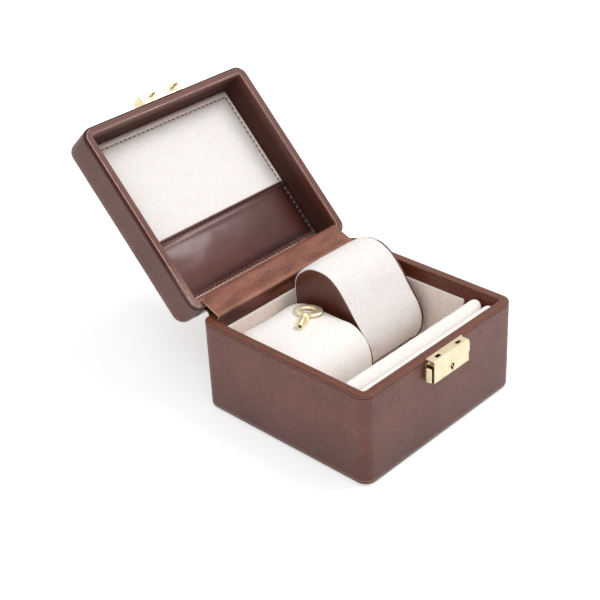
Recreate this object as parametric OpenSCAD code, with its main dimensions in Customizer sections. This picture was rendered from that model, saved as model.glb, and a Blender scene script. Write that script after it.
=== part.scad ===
// A hinged leather travel case for two watches, drawn with its lid open.
// Origin: middle of the underside. +X to the right of the front, +Y to the hinge, +Z up.
// Millimetres.

/* [Case] */
// Width of the case, side to side
case_w = 130; // [120:1:170]
// Depth of the case, front to hinge side
case_d = 124; // [116:1:160]
// Height of the base up to its rim
base_h = 58.6; // [54:0.2:80]
// Height of the lid from its rim to its top
lid_h = 25.2; // [22:0.2:45]
// Radius of the four upright corners
corner_r = 7; // [6.2:0.2:10]
// Radius of the lid's top edges
lid_edge_r = 5; // [2:0.2:6]
// Radius of the base's bottom edges
foot_edge_r = 2; // [1.2:0.1:3]
// Angle that the lid is opened to
lid_open = 134; // [100:1:140]

/* [Boards and leather] */
// Thickness of the wall boards
board_t = 4; // [3:0.1:4.4]
// Thickness of the cover leather
leather_t = 0.9; // [0.6:0.05:1.1]
// Thickness of the floor board
floor_board_t = 3.2; // [2:0.1:5]
// Thickness of the lid's top board
top_board_t = 2.5; // [1.5:0.1:4]
// Thickness of the underside sheet
underside_t = 0.6; // [0.4:0.1:1.2]
// How far the underside sheet is set in from the outside
underside_inset = 2.6; // [1:0.1:5]
// How far the rim leather laps down the outside
rim_lip = 1.4; // [1:0.1:4]
// Radius along the outer edge of a rim
rim_r = 1.2; // [0.4:0.1:1.4]
// Gap between the two rims when the lid is closed
lid_gap = 0.3; // [0.2:0.05:1]

/* [Hinge] */
// Distance of the hinge line behind the back wall
hinge_back = 2.2; // [1.8:0.1:3]
// Height of the hinge line above the base's rim
hinge_rise = 1.1; // [0.6:0.1:2]
// Thickness of the inner hinge strip
strip_t = 0.8; // [0.5:0.05:1]
// Gap between the inner hinge strip's ends and the side walls
strip_end_gap = 1.4; // [1.3:0.1:20]
// Thickness of the outer hinge leather
cover_t = 0.8; // [0.5:0.05:1]
// Distance from the outer hinge leather's ends to the case's sides
cover_end_gap = 8; // [8:0.5:30]
// How far the outer hinge leather is glued onto each half
cover_glue = 11; // [6:0.5:18]
// Free height of the outer hinge leather on each side of the joint
cover_free = 3; // [2.6:0.1:4]

// Gap between the ends of the hinge leathers' glued parts and the rim or lining
strip_gap = 0.2; // [0.1:0.05:0.5]
// How far the inner strip's fold leans into the base
fold_reach = 6.8; // [4:0.2:8]
// How far the inner strip's fold stands up
fold_rise = 2.6; // [2:0.1:4]
// How stiffly each leather bends where its glued part ends
bend = 4; // [3:0.5:5]

/* [Lining] */
// Thickness of the suede floor lining
floor_lining_t = 1.1; // [0.6:0.1:3]
// Thickness of the suede side and back linings
lining_t = 1.6; // [1:0.1:2.4]
// How far the lining stops below the rim
lining_drop = 9; // [6:0.5:12]
// Distance from the front wall to the side linings
side_lining_gap = 24.8; // [19.2:0.1:60]
// Depth inside the lid, from its rim to its suede panel
lid_inner_d = 20.8; // [16:0.2:34]
// Thickness of the lid pocket's leather
pocket_t = 0.9; // [0.6:0.1:1.4]
// Height of the lid pocket
pocket_h = 41.2; // [20:0.2:80]
// Gap between the lid pocket's ends and the lid's side walls
pocket_end_gap = 0.6; // [0.3:0.1:6]
// Gap between the lid pocket and the lid's hinge-side wall
pocket_gap = 2.6; // [1.6:0.1:6]

/* [Ring rolls] */
// Width of each ring roll, front to back
roll_w = 9.3; // [7:0.1:11]
// Gap between the two ring rolls
roll_gap = 0.3; // [0.2:0.1:2]
// How far the rear roll's top lies below the rim
roll_drop = 3.6; // [2:0.2:12]
// How much lower the front roll is than the rear one
roll_step = 0.6; // [0:0.1:3]
// Height of each roll above its plinth
roll_h = 11; // [9:0.5:16]
// Gap between the ends of a roll and the side walls
roll_end_gap = 1.8; // [0.4:0.1:6]

/* [Watch cushions] */
// Width of a cushion, along the case
cushion_w = 51; // [40:0.5:54]
// Length of a cushion's section
cushion_l = 67; // [56:0.5:70]
// Thickness of a cushion's section
cushion_t = 45.5; // [42:0.5:46]
// Radius of the rounded ends of the section
cushion_r = 20.75; // [16:0.25:21]
// Gap between the two cushions
cushion_gap = 3; // [1:0.5:4]
// Thickness of the suede wrap
wrap_t = 1.2; // [0.6:0.1:2]
// Thickness of a cushion's leather end panel
end_t = 1.6; // [1:0.1:2.5]
// How far an end panel is set in from the wrap's edge
end_inset = 0.6; // [0.2:0.1:1.5]
// Gap between the left cushion and the back lining
cushion_back_gap = 1.8; // [0.3:0.1:4]
// Angle that the right cushion leans back at
cushion_tilt = 53; // [40:1:60]
// Clearance of a seated cushion, ring roll or key
seat_gap = 0.3; // [0.2:0.05:0.5]

/* [Lock] */
// Width of the lock, along the front
lock_w = 31; // [29:0.5:40]
// Height of the lock
lock_h = 14; // [13.6:0.2:18]
// Depth of the lock in front of the wall
lock_d = 6.2; // [6:0.1:8]
// Thickness of the lock's sheet brass
sheet_t = 0.8; // [0.6:0.05:0.9]
// Height of the keyhole's middle above the lock's underside
keyhole_rise = 4.4; // [4.2:0.1:5]
// Radius of the key barrel
barrel_r = 2.6; // [2.3:0.05:2.8]
// Radial running clearance of the key barrel
barrel_gap = 0.05; // [0.02:0.01:0.1]
// How far the key barrel stands out of the lock
barrel_out = 0.2; // [0.1:0.05:0.6]
// Width and thickness of the collar that keeps the key barrel in
collar = 0.7; // [0.4:0.1:0.9]
// Radius of the hole in the key barrel
keyhole_r = 1.5; // [1.45:0.05:1.7]
// Width of the slot for the key's bit
bit_slot_w = 1.1; // [1.05:0.05:1.4]
// Radius of the post in the keyhole
post_r = 0.9; // [0.6:0.05:0.9]
// How far the post's tip lies behind the lock's front
post_recess = 0.4; // [0.1:0.1:1.5]
// Running clearance of the latch's sliding parts
run_gap = 0.3; // [0.2:0.05:0.35]
// Height of the latch slide's bar
slide_h = 6.2; // [5:0.1:6.6]
// Gap between the slide's bar and the top of the lock
slide_drop = 2; // [1.6:0.1:2.4]
// Thickness of the slide's tongue, which closes the lock's right-hand end
tongue_t = 1.1; // [0.6:0.1:1.6]
// Depth of the tongue, front to back
tongue_d = 4.8; // [3:0.1:4.8]
// How far the tongue reaches above and below the slide's bar
tongue_rim = 0.7; // [0:0.1:1]
// Gap between the tongue and the lock's end
tongue_gap = 0.1; // [0.05:0.05:0.3]
// How far the thumb tab stands out when the latch is free
tab_out = 2.5; // [2:0.1:4]
// Thickness of the thumb tab
tab_t = 1; // [0.6:0.1:1.4]
// Depth of the thumb tab, front to back
tab_d = 3.7; // [2.6:0.1:3.8]
// Radius of the thumb tab's corners
tab_r = 1.2; // [0.4:0.1:1.2]
// Thickness of a pawl, along the front
pawl_t = 1.6; // [1:0.1:2]
// Gap between a pawl and its hook when the latch is free
pawl_gap = 0.4; // [0.3:0.05:0.6]
// Thickness of the leaf spring
spring_t = 0.3; // [0.2:0.05:0.5]
// Width of the leaf spring, front to back
spring_w = 1.4; // [1:0.1:1.8]
// Clearance of the leaf spring under the slide and from its neighbours
spring_gap = 0.1; // [0.05:0.05:0.3]

/* [Catch and hooks] */
// Gap between the catch and the lid's rim
catch_gap = 0.3; // [0.2:0.1:1]
// Height of the catch
catch_h = 9.6; // [8:0.2:14]
// Depth of the catch in front of the wall
catch_d = 6.2; // [5.4:0.1:8]
// Distance from the lock's middle to each hook
hook_x = 8.8; // [8:0.1:9.4]
// Distance of the hooks in front of the wall
hook_out = 3; // [2.9:0.05:3.1]
// Width of a hook
hook_w = 2.8; // [2.4:0.1:3]
// Thickness of a hook
hook_t = 1.2; // [0.8:0.1:1.3]
// How far the hooks reach past the lid's rim
hook_l = 5; // [4.6:0.1:5.4]
// Height of a hook's notch for its pawl
notch_h = 1.6; // [1.4:0.1:1.8]
// How far below the lid's rim a notch starts
notch_drop = 2; // [1.9:0.1:2.4]
// How deep a notch is
notch_w = 1.2; // [1:0.1:1.4]
// Width of a hook's slot, along the front
slot_w = 3.8; // [3.4:0.1:4.2]
// Width of a hook's slot, front to back
slot_d = 2.2; // [1.8:0.1:2.4]

/* [Rivets] */
// Distance from the lock's ends to its rivets
rivet_inset = 2.9; // [2.6:0.1:3.2]
// Height of the lock's rivets above its underside
rivet_rise = 2.4; // [2.3:0.1:2.8]
// Radius of a rivet's shank
rivet_r = 0.7; // [0.5:0.05:0.9]
// Length of a rivet's shank into the wall
rivet_l = 4.2; // [2:0.1:4.6]
// Clearance of a rivet's shank
rivet_gap = 0.05; // [0.02:0.01:0.1]
// How far a rivet's head stands out around its shank
rivet_rim = 0.6; // [0.3:0.05:0.7]
// Height of a rivet's head
rivet_head_h = 0.7; // [0.4:0.1:0.9]

/* [Key] */
// Width of the key's oval bow
bow_w = 17.6; // [12:0.2:22]
// Height of the key's oval bow
bow_h = 12.6; // [9:0.2:16]
// Width of the metal around the bow's opening
bow_band = 2.6; // [1.6:0.1:3.4]
// Thickness of the bow
bow_t = 1.6; // [1:0.1:2.4]
// Radius of the key's hollow shank
shank_r = 1.4; // [1.2:0.05:1.4]
// Radius of the hole in the shank's tip
shank_hole_r = 0.95; // [0.95:0.05:1.05]
// Depth of the hole in the shank's tip
shank_hole_l = 6; // [5.5:0.5:8]
// Length of the shank beyond the bow
shank_l = 12.4; // [8:0.2:16]
// Length of the bit along the shank
bit_l = 3.6; // [2:0.1:5]
// How far the bit stands out of the shank
bit_h = 1.8; // [1:0.1:3]
// Thickness of the bit
bit_t = 1; // [0.6:0.1:1]
// Distance from the bit to the shank's tip
bit_back = 0.4; // [0:0.1:1]
// Distance from the key's bow to the left cushion's inner end
key_from_end = 10.2; // [6:0.1:14]
// Distance from the key's bow to the left cushion's middle line
key_back = 8.4; // [0:0.1:10]
// Direction that the key points in, seen from above
key_angle = 208; // [180:1:230]

/* [Hidden] */
$fn = 64;
// Overshoot of a cutting shape
cut = 1;

// Walls: leather outside, board, leather inside
wall_t = board_t + 2 * leather_t;
in_w = case_w - 2 * wall_t;
in_d = case_d - 2 * wall_t;
strip_w = in_w - 2 * strip_end_gap;
cover_w = case_w - 2 * cover_end_gap;
board_in = leather_t + board_t;
front_y = -case_d / 2;
back_y = case_d / 2;
in_front_y = -in_d / 2;
in_back_y = in_d / 2;
core_r = max(corner_r - wall_t, 0.4);

// Heights in the base
floor_z = underside_t + floor_board_t + floor_lining_t;
lining_top = base_h - lining_drop;
seam_z = base_h - rim_lip;

// The lid is drawn closed, then swung open about the hinge line
lid_z = base_h + lid_gap;
lid_top = lid_z + lid_h;
panel_z = lid_z + lid_inner_d;
board_top = lid_top - leather_t;
panel_top = board_top - top_board_t;
hinge_y = back_y + hinge_back;
hinge_z = base_h + hinge_rise;
function swing(p) = let (y = p[0] - hinge_y, z = p[1] - hinge_z)
    [hinge_y + y * cos(lid_open) + z * sin(lid_open), hinge_z - y * sin(lid_open) + z * cos(lid_open)];

// Colours
brown = "#6b4238";
rim_brown = "#7a4432";
dark_brown = "#3f231d";
suede = "#e9dccf";
greyboard = "#b9a585";
brass = "#d9c27a";

// ---------------------------------------------------------------- shapes
module rounded_rect(w, d, r) {
    q = max(r, 0.2);
    square([w - 2 * q, d], center = true);
    square([w, d - 2 * q], center = true);
    for (sx = [-1, 1])
        for (sy = [-1, 1])
            translate([sx * (w / 2 - q), sy * (d / 2 - q)])
                circle(q);
}

module slab(w, d, r, z0, z1) {
    translate([0, 0, z0])
        linear_extrude(z1 - z0)
            rounded_rect(w, d, r);
}

module box(x0, x1, y0, y1, z0, z1) {
    translate([x0, y0, z0])
        cube([x1 - x0, y1 - y0, z1 - z0]);
}

// Plate of radius r, from its middle line outwards, with its top edge rounded to e
module edge_section(r, h, e) {
    square([r, h - e]);
    square([r - e, h]);
    intersection() {
        translate([r - e, h - e])
            circle(e);
        square([r, h]);
    }
}

// A box standing on z = 0, with upright corners of radius r and a top edge of radius e
module soft_box(w, d, h, r, e) {
    box(-w / 2 + r, w / 2 - r, -d / 2 + r, d / 2 - r, 0, h);
    for (m = [0, 1])
        mirror([m, 0, 0])
            translate([w / 2 - r, d / 2 - r, 0])
                rotate([90, 0, 0])
                    linear_extrude(d - 2 * r)
                        edge_section(r, h, e);
    for (m = [0, 1])
        mirror([0, m, 0])
            translate([-w / 2 + r, d / 2 - r, 0])
                rotate([90, 0, 90])
                    linear_extrude(w - 2 * r)
                        edge_section(r, h, e);
    for (a = [0:90:270])
        translate([(a < 90 || a > 180 ? 1 : -1) * (w / 2 - r), (a < 180 ? 1 : -1) * (d / 2 - r), 0])
            rotate([0, 0, a])
                rotate_extrude(angle = 90)
                    edge_section(r, h, e);
}

// The case's outside, t inside its surface: the base from z0 up to z1
module base_body(t, z0, z1) {
    translate([0, 0, z1])
        mirror([0, 0, 1])
            soft_box(case_w - 2 * t, case_d - 2 * t, z1 - z0, corner_r - t, max(foot_edge_r - t, 0.2));
}

// The same for the lid, from z0 up to its top
module lid_body(t, z0) {
    translate([0, 0, z0])
        soft_box(case_w - 2 * t, case_d - 2 * t, lid_top - t - z0, corner_r - t, max(lid_edge_r - t, 0.2));
}

// Upright prism t inside the case's plan
module plan_slab(t, z0, z1) {
    slab(case_w - 2 * t, case_d - 2 * t, max(corner_r - t, 0.4), z0, z1);
}

// One of the four walls' share of the plan, mitred at its corners. side: 0 front, 1 right, 2 back, 3 left
module wall_share(side) {
    a = case_w / 2;
    b = case_d / 2;
    k = board_in + corner_r;
    shares = [
        [[-a, -b], [a, -b], [a - k, -b + k], [-a + k, -b + k]],
        [[a, -b], [a, b], [a - k, b - k], [a - k, -b + k]],
        [[a, b], [-a, b], [-a + k, b - k], [a - k, b - k]],
        [[-a, b], [-a, -b], [-a + k, -b + k], [-a + k, b - k]]
    ];
    linear_extrude(lid_top + cut)
        polygon(shares[side]);
}

// Cylinder along Y from y0 to y1
module rod_y(x, z, r, y0, y1) {
    translate([x, y1, z])
        rotate([90, 0, 0])
            cylinder(r = r, h = y1 - y0);
}

// Section in Y and Z, drawn out along X from x0 to x1
module along_x(x0, x1) {
    translate([x0, 0, 0])
        rotate([90, 0, 90])
            linear_extrude(x1 - x0)
                children();
}

module lid() {
    translate([0, hinge_y, hinge_z])
        rotate([-lid_open, 0, 0])
            translate([0, -hinge_y, -hinge_z])
                children();
}

// Strip of leather t thick that follows a curve from a to d, square to va at a and to vd at d
function curve(a, b, c, d, n) = [for (i = [0:n]) let (t = i / n, u = 1 - t)
    u * u * u * a + 3 * u * u * t * b + 3 * u * t * t * c + t * t * t * d];
function unit(v) = v / norm(v);
function side_of(p, va, vd, k) = [for (i = [0:len(p) - 1]) let (
    v = i == 0 ? va : i == len(p) - 1 ? vd : unit(p[i + 1] - p[i - 1])) p[i] + k * [v[1], -v[0]]];
function ribbon(p, va, vd, t) = concat(side_of(p, va, vd, t / 2),
    [for (q = [0:len(p) - 1]) side_of(p, va, vd, -t / 2)[len(p) - 1 - q]]);

// ---------------------------------------------------------------- base
rivet_x = lock_w / 2 - rivet_inset;
lock_z = base_h - lock_h;
lock_rivet_z = lock_z + rivet_rise;
catch_z = lid_z + catch_gap;
catch_rivet_z = catch_z + catch_h / 2;

// Clearance holes for the two rivets of the lock or the catch
module rivet_holes(z) {
    for (s = [-1, 1])
        rod_y(s * rivet_x, z, rivet_r + rivet_gap, front_y - sheet_t - cut, front_y + rivet_l + rivet_gap);
}

module base_board(side) {
    color(greyboard)
        difference() {
            intersection() {
                base_body(leather_t, underside_t + leather_t, base_h - leather_t);
                wall_share(side);
            }
            plan_slab(board_in, 0, base_h);
            if (side == 0)
                rivet_holes(lock_rivet_z);
        }
}

module base_front_board() base_board(0);
module base_right_board() base_board(1);
module base_back_board() base_board(2);
module base_left_board() base_board(3);

module base_floor_board() {
    color(greyboard)
        plan_slab(board_in, underside_t, underside_t + floor_board_t);
}

module base_side_leather() {
    color(brown)
        difference() {
            base_body(0, underside_t, seam_z);
            base_body(leather_t, underside_t + leather_t, seam_z + cut);
            plan_slab(board_in, 0, seam_z);
            rivet_holes(lock_rivet_z);
        }
}

// Laps over the walls' top edges and lines their insides down to the floor lining
module base_rim_leather() {
    color(rim_brown)
        difference() {
            union() {
                translate([0, 0, seam_z])
                    soft_box(case_w, case_d, rim_lip, corner_r, min(rim_r, rim_lip));
                plan_slab(board_in, floor_z, seam_z);
            }
            difference() {
                plan_slab(leather_t, seam_z - cut, base_h - leather_t);
                plan_slab(board_in, 0, base_h);
            }
            plan_slab(wall_t, 0, base_h + cut);
        }
}

module base_underside_sheet() {
    color("#2c1a17")
        plan_slab(underside_inset, 0, underside_t);
}

// ---------------------------------------------------------------- lining
lining_back_y = in_back_y - lining_t;

module lining_floor() {
    color(suede)
        plan_slab(board_in, underside_t + floor_board_t, floor_z);
}

module lining_back() {
    color(suede)
        box(-in_w / 2 + core_r, in_w / 2 - core_r, lining_back_y, in_back_y, floor_z, lining_top);
}

module side_lining(s) {
    x0 = s > 0 ? in_w / 2 - lining_t : -in_w / 2;
    color(suede)
        box(x0, x0 + lining_t, in_front_y + side_lining_gap, lining_back_y, floor_z, lining_top);
}

module lining_left() side_lining(-1);
module lining_right() side_lining(1);

// ---------------------------------------------------------------- ring rolls
roll_front_y = in_front_y + seat_gap + roll_w / 2;
roll_rear_y = roll_front_y + roll_w + roll_gap;
plinth_top = base_h - roll_drop - roll_h;
roll_half_l = in_w / 2 - roll_end_gap;

module ring_plinth() {
    color(suede)
        box(-roll_half_l, roll_half_l, in_front_y, roll_rear_y + roll_w / 2, floor_z, plinth_top);
}

module ring_roll(y, h) {
    color(suede)
        along_x(-roll_half_l, roll_half_l)
            translate([y, plinth_top]) {
                translate([-roll_w / 2, 0])
                    square([roll_w, h - roll_w / 2]);
                translate([0, h - roll_w / 2])
                    circle(roll_w / 2);
            }
}

module ring_roll_rear() ring_roll(roll_rear_y, roll_h);
module ring_roll_front() ring_roll(roll_front_y, roll_h - roll_step);

// ---------------------------------------------------------------- hinge leathers
strip_y = in_back_y - strip_t / 2;
strip_base_top = base_h - strip_gap;
strip_lid_z = lid_z + strip_gap;
cover_y = back_y + cover_t / 2;
cover_base_top = base_h - cover_free;
cover_lid_z = lid_z + cover_free;
lid_up = swing([hinge_y, hinge_z + 1]) - [hinge_y, hinge_z];

module hinge_strip_base() {
    color("#a9805f")
        box(-strip_w / 2, strip_w / 2, in_back_y - strip_t, in_back_y, lining_top + strip_gap, strip_base_top);
}

// Crosses from the base's inside to the lid's, and stops the lid when it is taut
module hinge_strip_span() {
    a = [strip_y, strip_base_top];
    d = swing([strip_y, strip_lid_z]);
    mouth = d - 2 * strip_gap * lid_up;
    color("#a9805f")
        along_x(-strip_w / 2, strip_w / 2)
            polygon(ribbon(
                concat(curve(a, a + [-fold_reach, fold_rise], mouth - bend / 3 * lid_up, mouth, 16), [d]),
                [0, 1], lid_up, strip_t));
}

module hinge_strip_lid() {
    color("#a9805f")
        lid()
            box(-strip_w / 2, strip_w / 2, in_back_y - strip_t, in_back_y, strip_lid_z, panel_z - strip_gap);
}

module hinge_cover_base() {
    color(brown)
        box(-cover_w / 2, cover_w / 2, back_y, back_y + cover_t, cover_base_top - cover_glue, cover_base_top);
}

module hinge_cover_fold() {
    a = [cover_y, cover_base_top];
    d = swing([cover_y, cover_lid_z]);
    color(dark_brown)
        along_x(-cover_w / 2, cover_w / 2)
            polygon(ribbon(curve(a, a + [0, bend], d - bend * lid_up, d, 16), [0, 1], lid_up, cover_t));
}

module hinge_cover_lid() {
    color(brown)
        lid()
            box(-cover_w / 2, cover_w / 2, back_y, back_y + cover_t, cover_lid_z, cover_lid_z + cover_glue);
}

// ---------------------------------------------------------------- lock
lock_front = front_y - lock_d;
lock_back = front_y - sheet_t;
hook_y = front_y - hook_out;
keyhole_z = lock_z + keyhole_rise;
slide_back = lock_back - run_gap;
slide_front = slide_back - sheet_t;
slide_z1 = base_h - slide_drop;
slide_z0 = slide_z1 - slide_h;
tab_x = -lock_w / 2 - tab_out;
housing_end = lock_w / 2 - sheet_t;
tongue_x = housing_end + tongue_gap;
hook_tip = lid_z - hook_l;
notch_z1 = lid_z - notch_drop;
notch_z0 = notch_z1 - notch_h;

module lock_back_plate() {
    color(brass)
        difference() {
            union() {
                box(-lock_w / 2, lock_w / 2, lock_back, front_y, lock_z, base_h);
                rod_y(0, keyhole_z, post_r, lock_front + post_recess, lock_back);
            }
            rivet_holes(lock_rivet_z);
        }
}

// Front, top and bottom walls; its ends are open for the slide's thumb tab and tongue
module lock_housing() {
    color(brass)
        difference() {
            box(-lock_w / 2, housing_end, lock_front, lock_back, lock_z, base_h);
            box(-lock_w, lock_w, lock_front + sheet_t, 0, lock_z + sheet_t, base_h - sheet_t);
            rod_y(0, keyhole_z, barrel_r + barrel_gap, lock_front - cut, lock_front + sheet_t + cut);
            for (s = [-1, 1])
                box(s * hook_x - slot_w / 2, s * hook_x + slot_w / 2, hook_y - slot_d / 2, hook_y + slot_d / 2,
                    base_h - sheet_t - cut, base_h + cut);
        }
}

// Bowed leaf under the slide, between a rivet and the key barrel
module lock_leaf_spring() {
    z0 = lock_z + sheet_t;
    rise = [0, slide_z0 - spring_gap - spring_t / 2 - z0] * 4 / 3;
    a = [-rivet_x, z0];
    d = [-barrel_r - collar - spring_gap - spring_t, z0];
    color("#b9b6ae")
        translate([0, lock_back - rivet_head_h - spring_gap, 0])
            rotate([90, 0, 0])
                linear_extrude(spring_w)
                    polygon(ribbon(curve(a, a + rise, d + rise, d, 16), [0, 1], [0, -1], spring_t));
}

module rivets(z) {
    for (s = [-1, 1]) {
        rod_y(s * rivet_x, z, rivet_r, lock_back, front_y + rivet_l);
        rod_y(s * rivet_x, z, rivet_r + rivet_rim, lock_back - rivet_head_h, lock_back);
    }
}

module lock_rivets() {
    color("#a98f55")
        rivets(lock_rivet_z);
}

module lock_slide_bar() {
    color(brass)
        box(tab_x + tab_t, tongue_x, slide_front, slide_back, slide_z0, slide_z1);
}

module lock_slide_tongue() {
    color(brass)
        along_x(tongue_x, tongue_x + tongue_t)
            translate([slide_back - tongue_d / 2, (slide_z0 + slide_z1) / 2])
                rounded_rect(tongue_d, slide_h + 2 * tongue_rim, tab_r);
}

// Thumb tab at the left end
module lock_slide_tab() {
    z0 = lock_z + sheet_t + run_gap;
    z1 = slide_z1 - slide_drop;
    color(brass)
        along_x(tab_x, tab_x + tab_t)
            translate([slide_back - tab_d / 2, (z0 + z1) / 2])
                rounded_rect(tab_d, z1 - z0, tab_r);
}

// Blunt pawls that enter the hooks' notches
module slide_pawl(s) {
    x1 = s * hook_x - hook_w / 2 - pawl_gap;
    color(brass)
        box(x1 - pawl_t, x1, hook_y - hook_t / 2 - run_gap, slide_front,
            notch_z0 + run_gap, min(notch_z1 - run_gap, slide_z1));
}

module lock_slide_pawl_left() slide_pawl(-1);
module lock_slide_pawl_right() slide_pawl(1);

module lock_key_barrel() {
    y0 = lock_front - barrel_out;
    y1 = lock_front + sheet_t + barrel_gap + collar;
    color("#c9b068")
        difference() {
            union() {
                rod_y(0, keyhole_z, barrel_r, y0, y1);
                rod_y(0, keyhole_z, barrel_r + collar, y1 - collar, y1);
            }
            rod_y(0, keyhole_z, keyhole_r, y0 - cut, y1 + cut);
            box(-bit_slot_w / 2, bit_slot_w / 2, y0 - cut, y1 + cut,
                keyhole_z - barrel_r + bit_slot_w / 3, keyhole_z);
        }
}

// ---------------------------------------------------------------- watch cushions
cushion_x = (cushion_w + cushion_gap) / 2;
flat_c = [lining_back_y - cushion_back_gap - cushion_l / 2, floor_z + seat_gap + cushion_t / 2];
half_a = cushion_l / 2 - cushion_r;
half_b = cushion_t / 2 - cushion_r;
lean_c = [
    lining_back_y - seat_gap - half_a * cos(cushion_tilt) - half_b * sin(cushion_tilt) - cushion_r,
    floor_z + seat_gap + half_a * sin(cushion_tilt) + half_b * cos(cushion_tilt) + cushion_r
];

module cushion_slice(s, inset, x0, x1) {
    c = s < 0 ? flat_c : lean_c;
    translate([s * cushion_x, c[0], c[1]])
        rotate([s < 0 ? 0 : cushion_tilt, 0, 0])
            along_x(x0, x1)
                rounded_rect(cushion_l - 2 * inset, cushion_t - 2 * inset, cushion_r - inset);
}

module cushion_core(s) {
    k = cushion_w / 2 - end_inset - end_t;
    color("#cfc3b4")
        cushion_slice(s, wrap_t, -k, k);
}

module cushion_wrap(s) {
    color(suede)
        difference() {
            cushion_slice(s, 0, -cushion_w / 2, cushion_w / 2);
            cushion_slice(s, wrap_t, -cushion_w, cushion_w);
        }
}

// far: 1 for the end at the greater x
module cushion_end(s, far) {
    k = cushion_w / 2 - end_inset;
    color("#6d4c42")
        cushion_slice(s, wrap_t, far > 0 ? k - end_t : -k, far > 0 ? k : -k + end_t);
}

module cushion_left_core() cushion_core(-1);
module cushion_left_wrap() cushion_wrap(-1);
module cushion_left_end_outer() cushion_end(-1, -1);
module cushion_left_end_inner() cushion_end(-1, 1);
module cushion_right_core() cushion_core(1);
module cushion_right_wrap() cushion_wrap(1);
module cushion_right_end_outer() cushion_end(1, 1);
module cushion_right_end_inner() cushion_end(1, -1);

// ---------------------------------------------------------------- key
key_x = -cushion_gap / 2 - key_from_end;
key_y = flat_c[0] + key_back;
key_z = flat_c[1] + cushion_t / 2 + seat_gap + shank_r;

module oval(a, b) {
    polygon([for (i = [0:59]) [a * cos(i * 6), b * sin(i * 6)]]);
}

module key() {
    x0 = bow_h / 2 - bow_band / 2;
    x1 = bow_h / 2 + shank_l;
    color(brass)
        translate([key_x, key_y, key_z])
            rotate([0, 0, key_angle])
                difference() {
                    union() {
                        translate([0, 0, -bow_t / 2])
                            linear_extrude(bow_t)
                                difference() {
                                    oval(bow_h / 2, bow_w / 2);
                                    oval(bow_h / 2 - bow_band, bow_w / 2 - bow_band);
                                }
                        translate([x0, 0, 0])
                            rotate([0, 90, 0])
                                cylinder(r = shank_r, h = x1 - x0);
                        box(x1 - bit_back - bit_l, x1 - bit_back, -shank_r - bit_h, 0, -bit_t / 2, bit_t / 2);
                    }
                    translate([x1 - shank_hole_l, 0, 0])
                        rotate([0, 90, 0])
                            cylinder(r = shank_hole_r, h = shank_hole_l + cut);
                }
}

// ---------------------------------------------------------------- lid
module lid_board(side) {
    color(greyboard)
        lid()
            difference() {
                intersection() {
                    lid_body(leather_t, lid_z + leather_t);
                    wall_share(side);
                }
                plan_slab(board_in, lid_z, lid_top);
                if (side == 0)
                    rivet_holes(catch_rivet_z);
            }
}

module lid_front_board() lid_board(0);
module lid_right_board() lid_board(1);
module lid_back_board() lid_board(2);
module lid_left_board() lid_board(3);

module lid_top_board() {
    color(greyboard)
        lid()
            intersection() {
                lid_body(leather_t, lid_z + leather_t);
                plan_slab(board_in, panel_top, lid_top);
            }
}

module lid_leather() {
    color(brown)
        lid()
            difference() {
                lid_body(0, lid_z + rim_lip);
                lid_body(leather_t, lid_z);
                rivet_holes(catch_rivet_z);
            }
}

// Laps over the lid walls' edges and lines their insides
module lid_rim_leather() {
    color(rim_brown)
        lid()
            difference() {
                union() {
                    translate([0, 0, lid_z + rim_lip])
                        mirror([0, 0, 1])
                            soft_box(case_w, case_d, rim_lip, corner_r, min(rim_r, rim_lip));
                    plan_slab(board_in, lid_z + rim_lip, panel_top);
                }
                difference() {
                    plan_slab(leather_t, lid_z + leather_t, lid_z + rim_lip + cut);
                    plan_slab(board_in, lid_z, lid_top);
                }
                plan_slab(wall_t, lid_z - cut, lid_top);
            }
}

module lid_panel() {
    color("#ded0c2")
        lid()
            plan_slab(wall_t, panel_z, panel_top);
}

module lid_pocket() {
    y1 = in_back_y - pocket_gap;
    color(dark_brown)
        lid()
            box(-in_w / 2 + pocket_end_gap, in_w / 2 - pocket_end_gap, y1 - pocket_h, y1,
                panel_z - pocket_t, panel_z);
}

// ---------------------------------------------------------------- catch
module catch_back_plate() {
    color(brass)
        lid()
            difference() {
                box(-lock_w / 2, lock_w / 2, lock_back, front_y, catch_z, catch_z + catch_h);
                rivet_holes(catch_rivet_z);
            }
}

// Open towards the lock
module catch_housing() {
    y0 = front_y - catch_d;
    z1 = catch_z + catch_h;
    color(brass)
        lid()
            difference() {
                box(-lock_w / 2, lock_w / 2, y0, lock_back, catch_z, z1);
                box(-lock_w / 2 + sheet_t, lock_w / 2 - sheet_t, y0 + sheet_t, 0, 0, z1 - sheet_t);
            }
}

// Two notched hooks on a crosspiece
module catch_hooks() {
    z0 = catch_z + catch_gap;
    color("#d9c891")
        lid()
            difference() {
                union() {
                    box(-hook_x - hook_w, hook_x + hook_w, hook_y - hook_t, lock_back, z0, z0 + sheet_t);
                    for (s = [-1, 1])
                        box(s * hook_x - hook_w / 2, s * hook_x + hook_w / 2,
                            hook_y - hook_t / 2, hook_y + hook_t / 2, hook_tip, z0 + sheet_t);
                }
                for (s = [-1, 1])
                    box((s * hook_x - hook_w / 2) - cut, (s * hook_x - hook_w / 2) + notch_w,
                        hook_y - hook_t, hook_y + hook_t, notch_z0, notch_z1);
            }
}

module catch_rivets() {
    color("#a98f55")
        lid()
            rivets(catch_rivet_z);
}

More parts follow.
